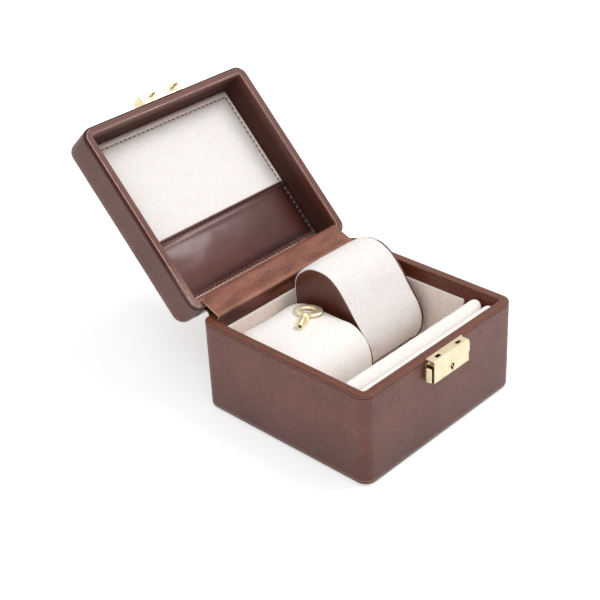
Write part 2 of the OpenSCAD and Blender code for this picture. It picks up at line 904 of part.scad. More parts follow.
base_front_board();
base_back_board();
base_left_board();
base_right_board();
base_floor_board();
base_side_leather();
base_rim_leather();
base_underside_sheet();
lining_floor();
lining_back();
lining_left();
lining_right();
ring_plinth();
ring_roll_rear();
ring_roll_front();
hinge_strip_base();
hinge_strip_span();
hinge_cover_base();
hinge_cover_fold();
lock_back_plate();
lock_housing();
lock_leaf_spring();
lock_rivets();
lock_slide_bar();
lock_slide_tab();
lock_slide_tongue();
lock_slide_pawl_left();
lock_slide_pawl_right();
lock_key_barrel();
cushion_left_core();
cushion_left_wrap();
cushion_left_end_outer();
cushion_left_end_inner();
cushion_right_core();
cushion_right_wrap();
cushion_right_end_outer();
cushion_right_end_inner();
key();
lid_front_board();
lid_back_board();
lid_left_board();
lid_right_board();
lid_top_board();
lid_leather();
lid_rim_leather();
lid_panel();
lid_pocket();
hinge_strip_lid();
hinge_cover_lid();
catch_back_plate();
catch_housing();
catch_hooks();
catch_rivets();
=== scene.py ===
import math

import bmesh
import bpy
import numpy as np
from mathutils import Matrix, Vector, noise


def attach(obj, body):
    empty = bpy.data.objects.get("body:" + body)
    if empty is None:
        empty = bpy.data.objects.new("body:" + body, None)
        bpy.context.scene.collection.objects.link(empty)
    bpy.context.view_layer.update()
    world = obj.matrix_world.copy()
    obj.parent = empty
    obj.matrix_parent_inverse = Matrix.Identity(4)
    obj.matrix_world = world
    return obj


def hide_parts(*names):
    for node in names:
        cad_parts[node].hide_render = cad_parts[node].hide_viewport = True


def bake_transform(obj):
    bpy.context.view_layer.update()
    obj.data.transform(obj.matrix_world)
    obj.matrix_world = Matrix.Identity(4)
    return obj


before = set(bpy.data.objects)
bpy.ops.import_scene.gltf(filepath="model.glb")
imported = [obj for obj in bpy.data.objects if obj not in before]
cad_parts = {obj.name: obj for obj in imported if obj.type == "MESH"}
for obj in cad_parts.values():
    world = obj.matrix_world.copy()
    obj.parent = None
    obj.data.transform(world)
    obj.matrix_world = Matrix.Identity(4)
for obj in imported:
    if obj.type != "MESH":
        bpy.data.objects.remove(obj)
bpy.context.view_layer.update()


# ---------------------------------------------------------------- case boards
# The walls, the floor and the lid's top are greyboard, cut square and glued up.
# Leather and lining hide them once the box is covered.
def srgb(red, green, blue):
    """The shader colour of an 8-bit screen colour."""
    parts = [v / 255 for v in (red, green, blue)]
    return tuple(((v + 0.055) / 1.055) ** 2.4 if v > 0.04 else v / 12.92 for v in parts) + (1.0,)


def node(tree, kind, inputs=None, **settings):
    """A new node: its inputs are plain values or the sockets that feed them."""
    made = tree.nodes.new(kind)
    for key, value in settings.items():
        setattr(made, key, value)
    for key, value in (inputs or {}).items():
        if isinstance(value, bpy.types.NodeSocket):
            tree.links.new(value, made.inputs[key])
        else:
            made.inputs[key].default_value = value
    return made


def finish(name, plain):
    """A new material with one shader, whose plain sockets are set here."""
    made = bpy.data.materials.new(name)
    made.use_nodes = True
    tree = made.node_tree
    tree.nodes.clear()
    shader = node(tree, "ShaderNodeBsdfPrincipled", plain)
    node(tree, "ShaderNodeOutputMaterial", {"Surface": shader.outputs[0]})
    return made, tree, shader, node(tree, "ShaderNodeTexCoord").outputs["Object"]


def feed(tree, shader, height=None, depth=0.1, **sockets):
    """Joins what changes over the surface to the shader. depth is the bump's, in millimetres."""
    for label, source in sockets.items():
        tree.links.new(source, shader.inputs[label.replace("_", " ")])
    if height is not None:
        bump = node(tree, "ShaderNodeBump", {"Strength": 1.0, "Distance": depth * 0.001, "Height": height})
        tree.links.new(bump.outputs[0], shader.inputs["Normal"])


def effect(name, inputs, outputs):
    """An empty node group with named sockets: (group, what comes in, what goes out)."""
    group = bpy.data.node_groups.new(name, "ShaderNodeTree")
    for label, kind, value in inputs:
        socket = group.interface.new_socket(label, in_out="INPUT", socket_type="NodeSocket" + kind)
        if value is not None:
            socket.default_value = value
    for label, kind in outputs:
        group.interface.new_socket(label, in_out="OUTPUT", socket_type="NodeSocket" + kind)
    return group, group.nodes.new("NodeGroupInput").outputs, group.nodes.new("NodeGroupOutput").inputs


def use(tree, group, inputs):
    """That node group placed in a material, with its own values."""
    return node(tree, "ShaderNodeGroup", inputs, node_tree=group).outputs


def calc(tree, operation, first, second):
    """What an operation makes of two values."""
    return node(tree, "ShaderNodeMath", {0: first, 1: second}, operation=operation).outputs[0]


def times(tree, first, second):
    """One value times another."""
    return calc(tree, "MULTIPLY", first, second)


def plus(tree, first, second):
    """One value and another."""
    return calc(tree, "ADD", first, second)


def one_in(tree, size):
    """A texture's scale from the size of what it shows."""
    return calc(tree, "DIVIDE", 1.0, size)


def spread(tree, value, low, high, first=0.0, last=1.0):
    """Stretches low to high into first to last, and holds what lies outside."""
    return node(tree, "ShaderNodeMapRange", {0: value, 1: low, 2: high, 3: first, 4: last}).outputs[0]


def millimetres(tree, place):
    """A place in millimetres, from one in metres."""
    return node(tree, "ShaderNodeVectorMath", {0: place, "Scale": 1000.0}, operation="SCALE").outputs[0]


def clouds(tree, place, scale, detail=2.0, **more):
    """Soft random light and dark."""
    values = {"Vector": place, "Scale": scale, "Detail": detail, **more}
    return node(tree, "ShaderNodeTexNoise", values).outputs[0]


def mix(tree, share, first, second):
    """The first colour where share is 0, the second where it is 1."""
    return node(tree, "ShaderNodeMix", {0: share, 6: first, 7: second}, data_type="RGBA").outputs[2]


# Clouds and flecks of two colours, for board, underside sheet and lining backs
mottle, come, go = effect(
    "Mottle",
    [("Place", "Vector", None), ("Cloud size mm", "Float", 18.0), ("Fleck size mm", "Float", 0.8),
     ("Dark", "Color", None), ("Pale", "Color", None)],
    [("Colour", "Color"), ("Height", "Float")])
in_mm = millimetres(mottle, come["Place"])
cloud = clouds(mottle, in_mm, one_in(mottle, come["Cloud size mm"]), 4.0)
fleck = clouds(mottle, in_mm, one_in(mottle, come["Fleck size mm"]), 3.0)
both = spread(mottle, plus(mottle, cloud, fleck), 0.75, 1.25)
mottle.links.new(mix(mottle, both, come["Dark"], come["Pale"]), go["Colour"])
mottle.links.new(fleck, go["Height"])

greyboard, tree, shader, place = finish("greyboard", {"Roughness": 0.9})
pulp = use(tree, mottle, {"Place": place, "Dark": srgb(120, 116, 108), "Pale": srgb(158, 152, 142)})
feed(tree, shader, pulp["Height"], 0.12, Base_Color=pulp["Colour"])


def colour_nodes(material, *names):
    """Gives CAD pieces that stay as they are their finish."""
    for name in names:
        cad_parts[name].data.materials[0] = material


colour_nodes(greyboard, "base_floor_board", "lid_top_board", *[
    f"{part}_{side}_board" for part in ("base", "lid") for side in ("front", "back", "left", "right")])

# ---------------------------------------------------------------- base covering
# One strip of smooth calf leather goes round the walls and turns in under the foot.
# A second strip is folded over the rim and lines the inside, with a fine seam between the two.
MM = 0.001
HALF_X, HALF_Y, CORNER = 65.0, 62.0, 7.0
WALL, HIDE = 5.8, 0.9
FOOT_Z, FOOT_R, TURNED_IN, BASE_SEAM, BASE_RIM = 0.6, 2.0, 3.2, 57.2, 58.6
RIM_R, INNER_R = 1.2, 1.0


def in_scene(name, data):
    """A new object with that mesh, lamp or camera."""
    made = bpy.data.objects.new(name, data)
    bpy.context.scene.collection.objects.link(made)
    return made


def mark(mesh, label, values):
    """A value at each point, which the materials read."""
    mesh.attributes.new(label, "FLOAT", "POINT").data.foreach_set("value", np.asarray(values, np.float32))


def piece(name, points, faces, marks=None, sharp=None):
    """A mesh from points in millimetres. marks holds {attribute: one value a point}."""
    mesh = bpy.data.meshes.new(name)
    mesh.from_pydata((np.asarray(points, float) * MM).tolist(), [], faces)
    for label, values in (marks or {}).items():
        mark(mesh, label, values)
    work = bmesh.new()
    work.from_mesh(mesh)
    bmesh.ops.recalc_face_normals(work, faces=work.faces)
    work.to_mesh(mesh)
    work.free()
    mesh.shade_smooth()
    if sharp:
        mesh.set_sharp_from_angle(angle=math.radians(sharp))
    return in_scene(name, mesh)


def dress(obj, material, slot, body, *nodes):
    """Gives a piece its finish, the body it rides on and the nodes it stands for."""
    obj.data.materials.clear()
    obj.data.materials.append(material)
    if body:
        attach(obj, body)
    if nodes:
        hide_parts(*nodes)


def grid_faces(rows, columns, closed_rows=True, closed_columns=True):
    """Quads between rows of points; a closed side joins its last to its first."""
    return [(i * columns + j, i * columns + (j + 1) % columns,
             (i + 1) % rows * columns + (j + 1) % columns, (i + 1) % rows * columns + j)
            for i in range(rows if closed_rows else rows - 1)
            for j in range(columns if closed_columns else columns - 1)]


def tube_faces(rows, columns):
    """Rings joined into a tube, and a face over each of its ends."""
    ends = [tuple(range(columns)), tuple(range((rows - 1) * columns, rows * columns))]
    return grid_faces(rows, columns, closed_rows=False) + ends


def arc(cx, cy, radius, first, last, steps):
    """Points on an arc, from angle first to last in degrees."""
    turns = [math.radians(first + (last - first) * i / steps) for i in range(steps + 1)]
    return [(cx + radius * math.cos(turn), cy + radius * math.sin(turn)) for turn in turns]


def plan_loop(inset, bend=8, run=16):
    """Points round the case's plan at an inset, the same count at each inset."""
    radius = max(CORNER - inset, 0.25)
    half_x, half_y = HALF_X - inset - radius, HALF_Y - inset - radius
    loop = []
    for quarter, (sx, sy) in enumerate(((1, 1), (-1, 1), (-1, -1), (1, -1))):
        loop += arc(sx * half_x, sy * half_y, radius, 90 * quarter, 90 * quarter + 90, bend)
    corners, loop = loop, []
    for i, here in enumerate(corners):
        loop.append(here)
        if i % (bend + 1) == bend:
            there = corners[(i + 1) % len(corners)]
            loop += [tuple(np.array(here) + (np.array(there) - here) * k / run) for k in range(1, run)]
    return loop


def round_case(name, profile, capped=False):
    """A leather that goes round the case. profile is its rows of (inset, height, wear and painted
    highlight, inside: painted shade).
    """
    profile = [(*row, 0.0, 0.0)[:4] for row in profile]
    loops = [plan_loop(row[0]) for row in profile]
    points = [(x, y, row[1]) for loop, row in zip(loops, profile) for x, y in loop]
    marks = {label: [row[k] for loop, row in zip(loops, profile) for _ in loop]
             for k, label in ((2, "wear"), (3, "inside"))}
    count = len(loops[0])
    faces = tube_faces(len(profile), count) if capped else grid_faces(len(profile), count)
    return piece(name, points, faces, marks)


def waves(x, y, z):
    """Smooth random heights between about -0.5 and 0.5."""
    return noise.noise(Vector((x, y, z)))


def clamp(value, most=1.0):
    return max(0.0, min(most, value))


def ripple(obj, depth, size, seed):
    """Moves the surface in and out a little, as hide lies over board. In millimetres."""
    shift = Vector((seed * 7.3, seed * 3.1, seed * 5.7))
    moved = [v.co + v.normal * (depth * MM * noise.noise(v.co / (size * MM) + shift))
             for v in obj.data.vertices]
    obj.data.vertices.foreach_set("co", np.ravel(moved))
    obj.data.update()


# Fine pores, creases and clouds of a smooth hide
hide, come, go = effect(
    "Hide",
    [("Place", "Vector", None), ("Pore size mm", "Float", 0.5), ("Crease size mm", "Float", 2.4),
     ("Cloud size mm", "Float", 26.0)],
    [("Height", "Float"), ("Tone", "Float")])
in_mm = millimetres(hide, come["Place"])
warp = node(hide, "ShaderNodeTexNoise", {"Vector": in_mm, "Scale": 0.35, "Detail": 2.0}).outputs["Color"]
bent = node(hide, "ShaderNodeVectorMath", {
    0: warp, 1: (1.4, 1.4, 1.4), 2: in_mm}, operation="MULTIPLY_ADD").outputs[0]
pore, crease = (node(hide, "ShaderNodeTexVoronoi", {"Vector": bent, "Scale": one_in(hide, come[size])},
                     feature=kind).outputs[0]
                for size, kind in (("Pore size mm", "SMOOTH_F1"), ("Crease size mm", "DISTANCE_TO_EDGE")))
cloud = clouds(hide, in_mm, one_in(hide, come["Cloud size mm"]), 5.0, Roughness=0.62)
pebble = clouds(hide, in_mm, 0.85, 3.0, Roughness=0.75)
fine = plus(hide, pore, times(hide, spread(hide, crease, 0.0, 0.09), 0.35))
hide.links.new(plus(hide, fine, times(hide, pebble, 1.6)), go["Height"])
tone = plus(hide, times(hide, cloud, 0.3), times(hide, pebble, 0.7))
hide.links.new(spread(hide, tone, 0.36, 0.64), go["Tone"])

# The colour made lighter by the mesh's worn mark, which holds real edge wear and painted highlights, and
# darker by its inside mark, which is painted shade in recesses, in creases and low down
wear_and_painted_light, come, go = effect(
    "Rubbed edge",
    [("Place", "Vector", None), ("Colour", "Color", None), ("Rubbed", "Color", None),
     ("Dark", "Color", None)],
    [("Colour", "Color"), ("Share", "Float"), ("Kept", "Float")])
worn_and_highlit = node(wear_and_painted_light, "ShaderNodeAttribute", attribute_name="wear").outputs["Fac"]
inside = node(wear_and_painted_light, "ShaderNodeAttribute", attribute_name="inside").outputs["Fac"]
in_mm = millimetres(wear_and_painted_light, come["Place"])
patch = spread(wear_and_painted_light, clouds(wear_and_painted_light, in_mm, 0.7, 5.0, Roughness=0.75), 0.4, 0.66, 0.35)
share = times(wear_and_painted_light, worn_and_highlit, patch)
# The inside mark mixes in the dark colour of painted shade, and the worn mark mixes in the pale colour of
# wear and painted highlights
dyed = mix(wear_and_painted_light, inside, come["Colour"], come["Dark"])
wear_and_painted_light.links.new(mix(wear_and_painted_light, share, dyed, come["Rubbed"]), go["Colour"])
wear_and_painted_light.links.new(share, go["Share"])
wear_and_painted_light.links.new(inside, go["Kept"])


def leather(name, leather_colours, roughness, grain, plain, coat, dull=0.0, pore=0.5, crease=2.4):
    """A smooth dyed leather. Its listed colours are its two dyed tones, then the pale colour of rubbed
    edges and painted highlights, then the colour of painted shade. grain is the depth of its pores. Where
    shade is painted it has less of its coat and is duller."""
    deep, light, worn_and_highlit, dark = (srgb(*listed_colour) for listed_colour in leather_colours)
    made, tree, shader, place = finish(name, {"IOR": 1.45, **plain})
    skin = use(tree, hide, {"Place": place, "Pore size mm": pore, "Crease size mm": crease})
    dyed = mix(tree, skin["Tone"], deep, light)
    edge = use(tree, wear_and_painted_light, {"Place": place, "Colour": dyed, "Rubbed": worn_and_highlit, "Dark": dark})
    rough = spread(tree, skin["Tone"], 0.0, 1.0, roughness + 0.05, roughness - 0.05)
    rough = calc(tree, "SUBTRACT", rough, times(tree, edge["Share"], 0.06))
    rough = plus(tree, rough, times(tree, edge["Kept"], dull))
    glaze = times(tree, calc(tree, "SUBTRACT", 1.0, edge["Kept"]), coat)
    feed(tree, shader, skin["Height"], grain, Base_Color=edge["Colour"], Roughness=rough, Coat_Weight=glaze)
    return made


# In each leather below, the third colour is for rubbed edges and painted highlights, and the fourth is
# painted shade
cover_leather = leather(
    "cover_leather", ((88, 48, 39), (124, 76, 65), (206, 156, 134), (56, 25, 19)), 0.42, 0.11,
    {"Sheen Weight": 0.05, "Sheen Roughness": 0.5, "Specular IOR Level": 0.42}, 0.0)
rim_leather = leather(
    "rim_leather", ((86, 42, 29), (118, 62, 42), (222, 176, 148), (56, 26, 18)), 0.34, 0.05,
    {"Coat Roughness": 0.2, "Specular IOR Level": 0.3}, 0.12, 0.55)

foot = arc(FOOT_R, FOOT_Z + FOOT_R, FOOT_R, 270, 180, 6)
inner_foot = arc(FOOT_R, FOOT_Z + FOOT_R, FOOT_R - HIDE, 180, 270, 4)
# The foot's rounding and its turn under the box are marked fully inside: painted shade where the box meets
# the floor
profile = [(TURNED_IN, FOOT_Z, 0, 1)] + [(*at, 0, 1) for at in foot]
# The crease above the foot: the pale line along it is a painted highlight, with painted shade just below it
profile += [(0, 2.85, 0, 0.8), (0, 3.0, 0.7, 0.1), (0, 3.35, 0.6, 0.1), (0, 3.6, 0, 0.45)]
# Darker towards the bottom: painted shade
profile += [(0, z, 0, 0.5 * max(0.0, 1 - z / 34) ** 1.1) for z in np.arange(5, 56, 3.4)]
profile += [(0, BASE_SEAM - 0.9), (0.02, BASE_SEAM - 0.5, 0, 0.1), (0.14, BASE_SEAM - 0.27, 0, 0.6),
            (0.5, BASE_SEAM - 0.13, 0, 1), (HIDE, BASE_SEAM, 0, 1)]
profile += [(*at, 0) for at in inner_foot] + [(TURNED_IN, FOOT_Z + HIDE, 0)]
cover = round_case("base_covering", profile)
ripple(cover, 0.07, 17, 1)
dress(cover, cover_leather, "cover_leather", "base", "base_side_leather")


def rim_profile(seam, rim, up, deep_z, shade, edge, face):
    """A rim leather's closed line: from the seam, over the rim and down inside to deep_z. up is 1 or -1.
    edge is the (wear and painted highlight, painted shade) round its outer edge, and face the rows of its
    flat top; shade scales the painted shade inside."""
    line = [(HIDE, seam + 0.04 * up, 0, 1), (0.4, seam + 0.06 * up, 0, 1), (0.14, seam + 0.12 * up, 0, 0.5)]
    line += [(i, rim - up * (RIM_R - z), *marks)
             for marks, (i, z) in zip(edge, arc(RIM_R, 0, RIM_R, 180, 90, 6))]
    line += [(i, rim - up * sink, *marks) for i, sink, *marks in face]
    # A pale line on the inner edge is a painted highlight, and painted shade begins below it
    line += [(WALL - INNER_R - x, rim - up * (INNER_R - z), 0.3 if k == 2 else 0.0, 0.12 * min(k, 3))
             for k, (x, z) in enumerate(arc(0, 0, INNER_R, 90, 180, 5))]
    # Down the inner wall the colour is painted darker with depth: painted shade
    deep = np.linspace(rim - up * (INNER_R + 1.0), deep_z, 12)
    line += [(WALL, z, 0.0, min(1.0, shade * (0.2 + abs(z - rim) / 15))) for z in deep]
    under = rim - up * HIDE
    line += [(WALL - HIDE, z, 0, 1) for z in (deep_z, (deep_z + rim) / 2, under)]
    return line + [(HIDE, under, 0, 1)]


# Pale lines along the rim's outer rounding and its flat top's edges: painted highlights, broken up like
# wear
edge = ((0.24, 0), (0.18, 0), (0.1, 0), (0.05, 0), (0, 0.05), (0, 0.1), (0, 0.1))
face = ((1.6, 0.02, 0.12, 0), (2.4, 0.02, 0, 0), (3.4, 0.02, 0, 0.05),
        (WALL - INNER_R - 0.4, 0.02, 0.06, 0.05))
rim = round_case("base_rim_strip", rim_profile(BASE_SEAM, BASE_RIM, 1, 4.9, 0.22, edge, face))
ripple(rim, 0.05, 14, 2)
dress(rim, rim_leather, "rim_leather", "base", "base_rim_leather")

# ---------------------------------------------------------------- underside
# The box stands on a thin sheet of dark paper-backed cloth.
# It is glued over the floor board and over the edge of the leather that is turned in under it.
underside, tree, shader, place = finish("underside", {"Roughness": 0.85})
sheet = use(tree, mottle, {"Place": place, "Fleck size mm": 0.5,
                           "Dark": srgb(38, 27, 24), "Pale": srgb(56, 42, 38)})
feed(tree, shader, sheet["Height"], 0.08, Base_Color=sheet["Colour"])
colour_nodes(underside, "base_underside_sheet")

# ---------------------------------------------------------------- linings
# Card panels wrapped in cream suede stand against the back and side walls, and one lies on the floor.
# Their top edges are rounded by the suede that is turned over them.
LINING_TOP, LINING_T, FLOOR_X, FLOOR_Y, FLOOR_Z0, FLOOR_TOP = 49.6, 1.55, 59.0, 56.0, 3.8, 4.9
INSIDE_X, INSIDE_Y, CARD_X, SIDE_Y0, SIDE_Y1 = 59.15, 56.15, 58.0, -31.4, 54.5

# Short fibres that catch the light, lying this way and that
nap, come, go = effect(
    "Suede nap",
    [("Place", "Vector", None), ("Fibre mm", "Float", 0.5), ("Patch mm", "Float", 9.0)],
    [("Height", "Float"), ("Tone", "Float"), ("Kept", "Float")])
in_mm = millimetres(nap, come["Place"])
fibre = clouds(nap, in_mm, one_in(nap, come["Fibre mm"]), 4.0, Roughness=0.7, Distortion=0.6)
patch = clouds(nap, in_mm, one_in(nap, come["Patch mm"]), 5.0, Distortion=0.8)
speck = clouds(nap, in_mm, 0.95, Roughness=0.6)
tone = plus(nap, plus(nap, times(nap, fibre, 0.35), times(nap, patch, 0.1)), times(nap, speck, 0.55))
nap.links.new(spread(nap, tone, 0.38, 0.62), go["Tone"])
nap.links.new(plus(nap, times(nap, fibre, 0.6), times(nap, speck, 1.5)), go["Height"])
# The inside mark, which carries a suede's painted highlight and painted shade
nap.links.new(node(nap, "ShaderNodeAttribute", attribute_name="inside").outputs["Fac"], go["Kept"])


def suede(name, shade, bright, depth, painted_shading=None, fibre=0.5, patch=9.0):
    """A napped cream suede between two near tones, and a third where the mesh is marked inside: painted
    light on the lining's top edges, painted shade on the lid panel's border.
    """
    made, tree, shader, place = finish(name, {
        "Roughness": 0.92, "Sheen Weight": 0.15, "Sheen Roughness": 0.45, "Specular IOR Level": 0.2,
        "Sheen Tint": srgb(255, 248, 242)})
    pile = use(tree, nap, {"Place": place, "Fibre mm": fibre, "Patch mm": patch})
    dyed = mix(tree, pile["Tone"], srgb(*shade), srgb(*bright))
    if painted_shading:
        dyed = mix(tree, pile["Kept"], dyed, srgb(*painted_shading))
    feed(tree, shader, pile["Height"], depth, Base_Color=dyed)
    return made


# Its third colour is paler: the painted highlight on the cards' top edges
lining_suede = suede("suede", (246, 223, 209), (255, 250, 242), 0.5, (255, 248, 241))


def soft_block(name, low, high, radius, step=4.0):
    """A block with rounded edges, cut into even faces so that it can ripple."""
    work = bmesh.new()
    bmesh.ops.create_cube(work, size=1.0)
    for vertex in work.verts:
        vertex.co = Vector([(a + b) / 2 + c * (b - a) for a, b, c in zip(low, high, vertex.co)])
    bmesh.ops.bevel(work, geom=list(work.edges), offset=radius, segments=3, profile=0.5, affect="EDGES")
    for axis in range(3):
        count = max(1, round((high[axis] - low[axis]) / step))
        normal = Vector([float(axis == k) for k in range(3)])
        for i in range(1, count):
            at = Vector([0.0, 0.0, 0.0])
            at[axis] = low[axis] + (high[axis] - low[axis]) * i / count
            bmesh.ops.bisect_plane(work, geom=work.verts[:] + work.edges[:] + work.faces[:],
                                   plane_co=at, plane_no=normal)
    bmesh.ops.scale(work, vec=(MM, MM, MM), verts=work.verts)
    mesh = bpy.data.meshes.new(name)
    work.to_mesh(mesh)
    work.free()
    mesh.shade_smooth()
    return in_scene(name, mesh)


for side, low, high in (
        ("floor", (-FLOOR_X, -FLOOR_Y, FLOOR_Z0), (FLOOR_X, FLOOR_Y, FLOOR_TOP)),
        ("back", (-CARD_X, INSIDE_Y - LINING_T, FLOOR_TOP), (CARD_X, INSIDE_Y, LINING_TOP)),
        ("left", (-INSIDE_X, SIDE_Y0, FLOOR_TOP), (LINING_T - INSIDE_X, SIDE_Y1, LINING_TOP)),
        ("right", (INSIDE_X - LINING_T, SIDE_Y0, FLOOR_TOP), (INSIDE_X, SIDE_Y1, LINING_TOP))):
    card = soft_block(f"lining_{side}_card", low, high, 0.5)
    ripple(card, 0.12, 19, len(card.name))
    # The turned-over top edge is marked inside, which paints it paler: a painted highlight
    mark(card.data, "inside", [vertex.co.z > (LINING_TOP - 0.3) * MM for vertex in card.data.vertices])
    dress(card, lining_suede, "suede", "base", f"lining_{side}")

# ---------------------------------------------------------------- ring rolls
# A low suede block runs along the front wall and carries two soft rolls, which grip rings between them.
# Each roll is suede pulled over a foam strip, so it swells between its ends and is flat underneath.
PLINTH_Y0, PLINTH_Y1, PLINTH_TOP, ROLL_HALF = -56.2, -37.0, 44.0, 57.4
ROLL_W = 9.3
roll_suede = suede("roll_suede", (244, 238, 233), (252, 249, 245), 0.2)


def swell(name, points, faces, held, pressure, most, steps=20):
    """Cloth blown up from inside: held points stay, and no point moves further than most millimetres."""
    start = np.asarray(points, float)
    blank = piece(name + "_cloth", start, faces)
    blank.vertex_groups.new(name="held").add([int(i) for i in held], 1.0, "REPLACE")
    cloth = blank.modifiers.new("cloth", "CLOTH")
    rules = cloth.settings
    rules.use_pressure, rules.uniform_pressure_force = True, pressure
    rules.vertex_group_mass, rules.effector_weights.gravity = "held", 0.0
    cloth.point_cache.frame_start, cloth.point_cache.frame_end = 1, steps
    for step in range(1, steps + 1):
        bpy.context.scene.frame_set(step)
    blown = blank.evaluated_get(bpy.context.evaluated_depsgraph_get())
    ends = np.array([v.co for v in blown.data.vertices]) / MM
    bpy.data.objects.remove(blank)
    bpy.context.scene.frame_set(1)
    move = ends - start
    far = np.linalg.norm(move, axis=1)
    return start + move * np.minimum(1.0, most / np.maximum(far, 1e-9))[:, None]


def applied(obj):
    """The mesh with its modifiers worked in."""
    mesh = bpy.data.meshes.new_from_object(obj.evaluated_get(bpy.context.evaluated_depsgraph_get()))
    obj.modifiers.clear()
    obj.data = mesh
    return obj


def smoothed(obj):
    """One round of subdivision, applied."""
    more = obj.modifiers.new("more", "SUBSURF")
    more.levels = more.render_levels = 1
    applied(obj).data.shade_smooth()
    return obj


def ring_roll(which, centre_y, top, seed):
    """A foam roll under suede: a D-shaped section that rounds off at both ends."""
    name = f"ring_roll_{which}_pad"
    low, radius = PLINTH_TOP, ROLL_W / 2 - 0.35
    section = [(-radius, low + 0.6), (-radius, low + 2.2)]
    section += arc(0, top - 0.5 - radius, radius, 180, 0, 12)
    section += [(radius, low + 2.2), (radius, low + 0.6), (radius - 0.6, low), (0, low),
                (0.6 - radius, low)]
    count = len(section)
    stations = [0.0, 0.35, 1.0, 2.0] + list(np.arange(4.4, 2 * ROLL_HALF - 4.0, 2.4))
    stations += [2 * ROLL_HALF - s for s in (2.0, 1.0, 0.35, 0.0)]
    points = []
    for s in stations:
        end = min(s, 2 * ROLL_HALF - s)
        close = 1 - max(0.0, 1 - end / 2.2) ** 2 * 0.34
        rise = (top - low) / 2
        dent = 1 + 0.012 * waves(s / 9, seed, 0)
        points += [(s - ROLL_HALF, centre_y + y * close * dent, low + rise * (1 - close) * 0.6
                    + (z - low) * (close * 0.55 + 0.45) * dent) for y, z in section]
    faces = tube_faces(len(stations), count)
    held = [i for i in range(len(points)) if i % count in (0, 1) or i % count > count - 6
            or i < 3 * count or i >= len(points) - 3 * count]
    points = swell(name, points, faces, held, 30.0, 0.5)
    points[:, 2] = np.clip(points[:, 2], low, top)
    points[:, 1] = np.clip(points[:, 1], centre_y - ROLL_W / 2, centre_y + ROLL_W / 2)
    roll = smoothed(piece(name, points, faces))
    ripple(roll, 0.14, 7, seed)
    dress(roll, roll_suede, "suede", "base", "ring_roll_" + which)


ring_roll("rear", centre_y=-41.65, top=55.0, seed=3)
ring_roll("front", centre_y=-51.25, top=54.4, seed=4)
plinth = soft_block("ring_plinth_block", (-ROLL_HALF, PLINTH_Y0 + 0.1, FLOOR_TOP),
                    (ROLL_HALF, PLINTH_Y1, PLINTH_TOP), 0.8)
ripple(plinth, 0.15, 15, 5)
dress(plinth, lining_suede, "suede", "base", "ring_plinth")

# ---------------------------------------------------------------- watch cushions
# A foam core of oval section is wrapped in cream suede, and a brown leather disc closes each end.
# The suede's edge is rolled over, so the discs sit a little inside; the middle swells.
LONG, SHORT, ROUND, HALF_WIDE = 33.5, 22.75, 20.75, 25.5
AROUND = 84
cushion_suede = {
    side: suede(f"cushion_{side}_suede_nap", (246, 237, 231), (255, 254, 252), depth, patch=7.0)
    for side, depth in (("left", 0.3), ("right", 0.52))}
end_leather = leather(
    "end_leather", ((78, 40, 31), (104, 56, 44), (150, 98, 82), (52, 28, 22)), 0.34, 0.06,
    {"Coat Roughness": 0.22}, 0.3)


def section_line(count):
    """Even points round the cushion's section with the way out at each, (long, short) axes."""
    dense = []
    for quarter, (sa, sb) in enumerate(((1, 1), (-1, 1), (-1, -1), (1, -1))):
        dense += [(a, b, math.radians(90 * quarter + 90 * i / 60)) for i, (a, b) in enumerate(
            arc(sa * (LONG - ROUND), sb * (SHORT - ROUND), ROUND, 90 * quarter, 90 * quarter + 90, 60))]
    line = np.array(dense + [dense[0][:2] + (2 * math.pi,)])
    reach = np.r_[0, np.cumsum(np.linalg.norm(np.diff(line[:, :2], axis=0), axis=1))]
    at = np.linspace(0, reach[-1], count, endpoint=False)
    a, b, turn = (np.interp(at, reach, line[:, k]) for k in range(3))
    return np.c_[a, b], np.c_[np.cos(turn), np.sin(turn)]


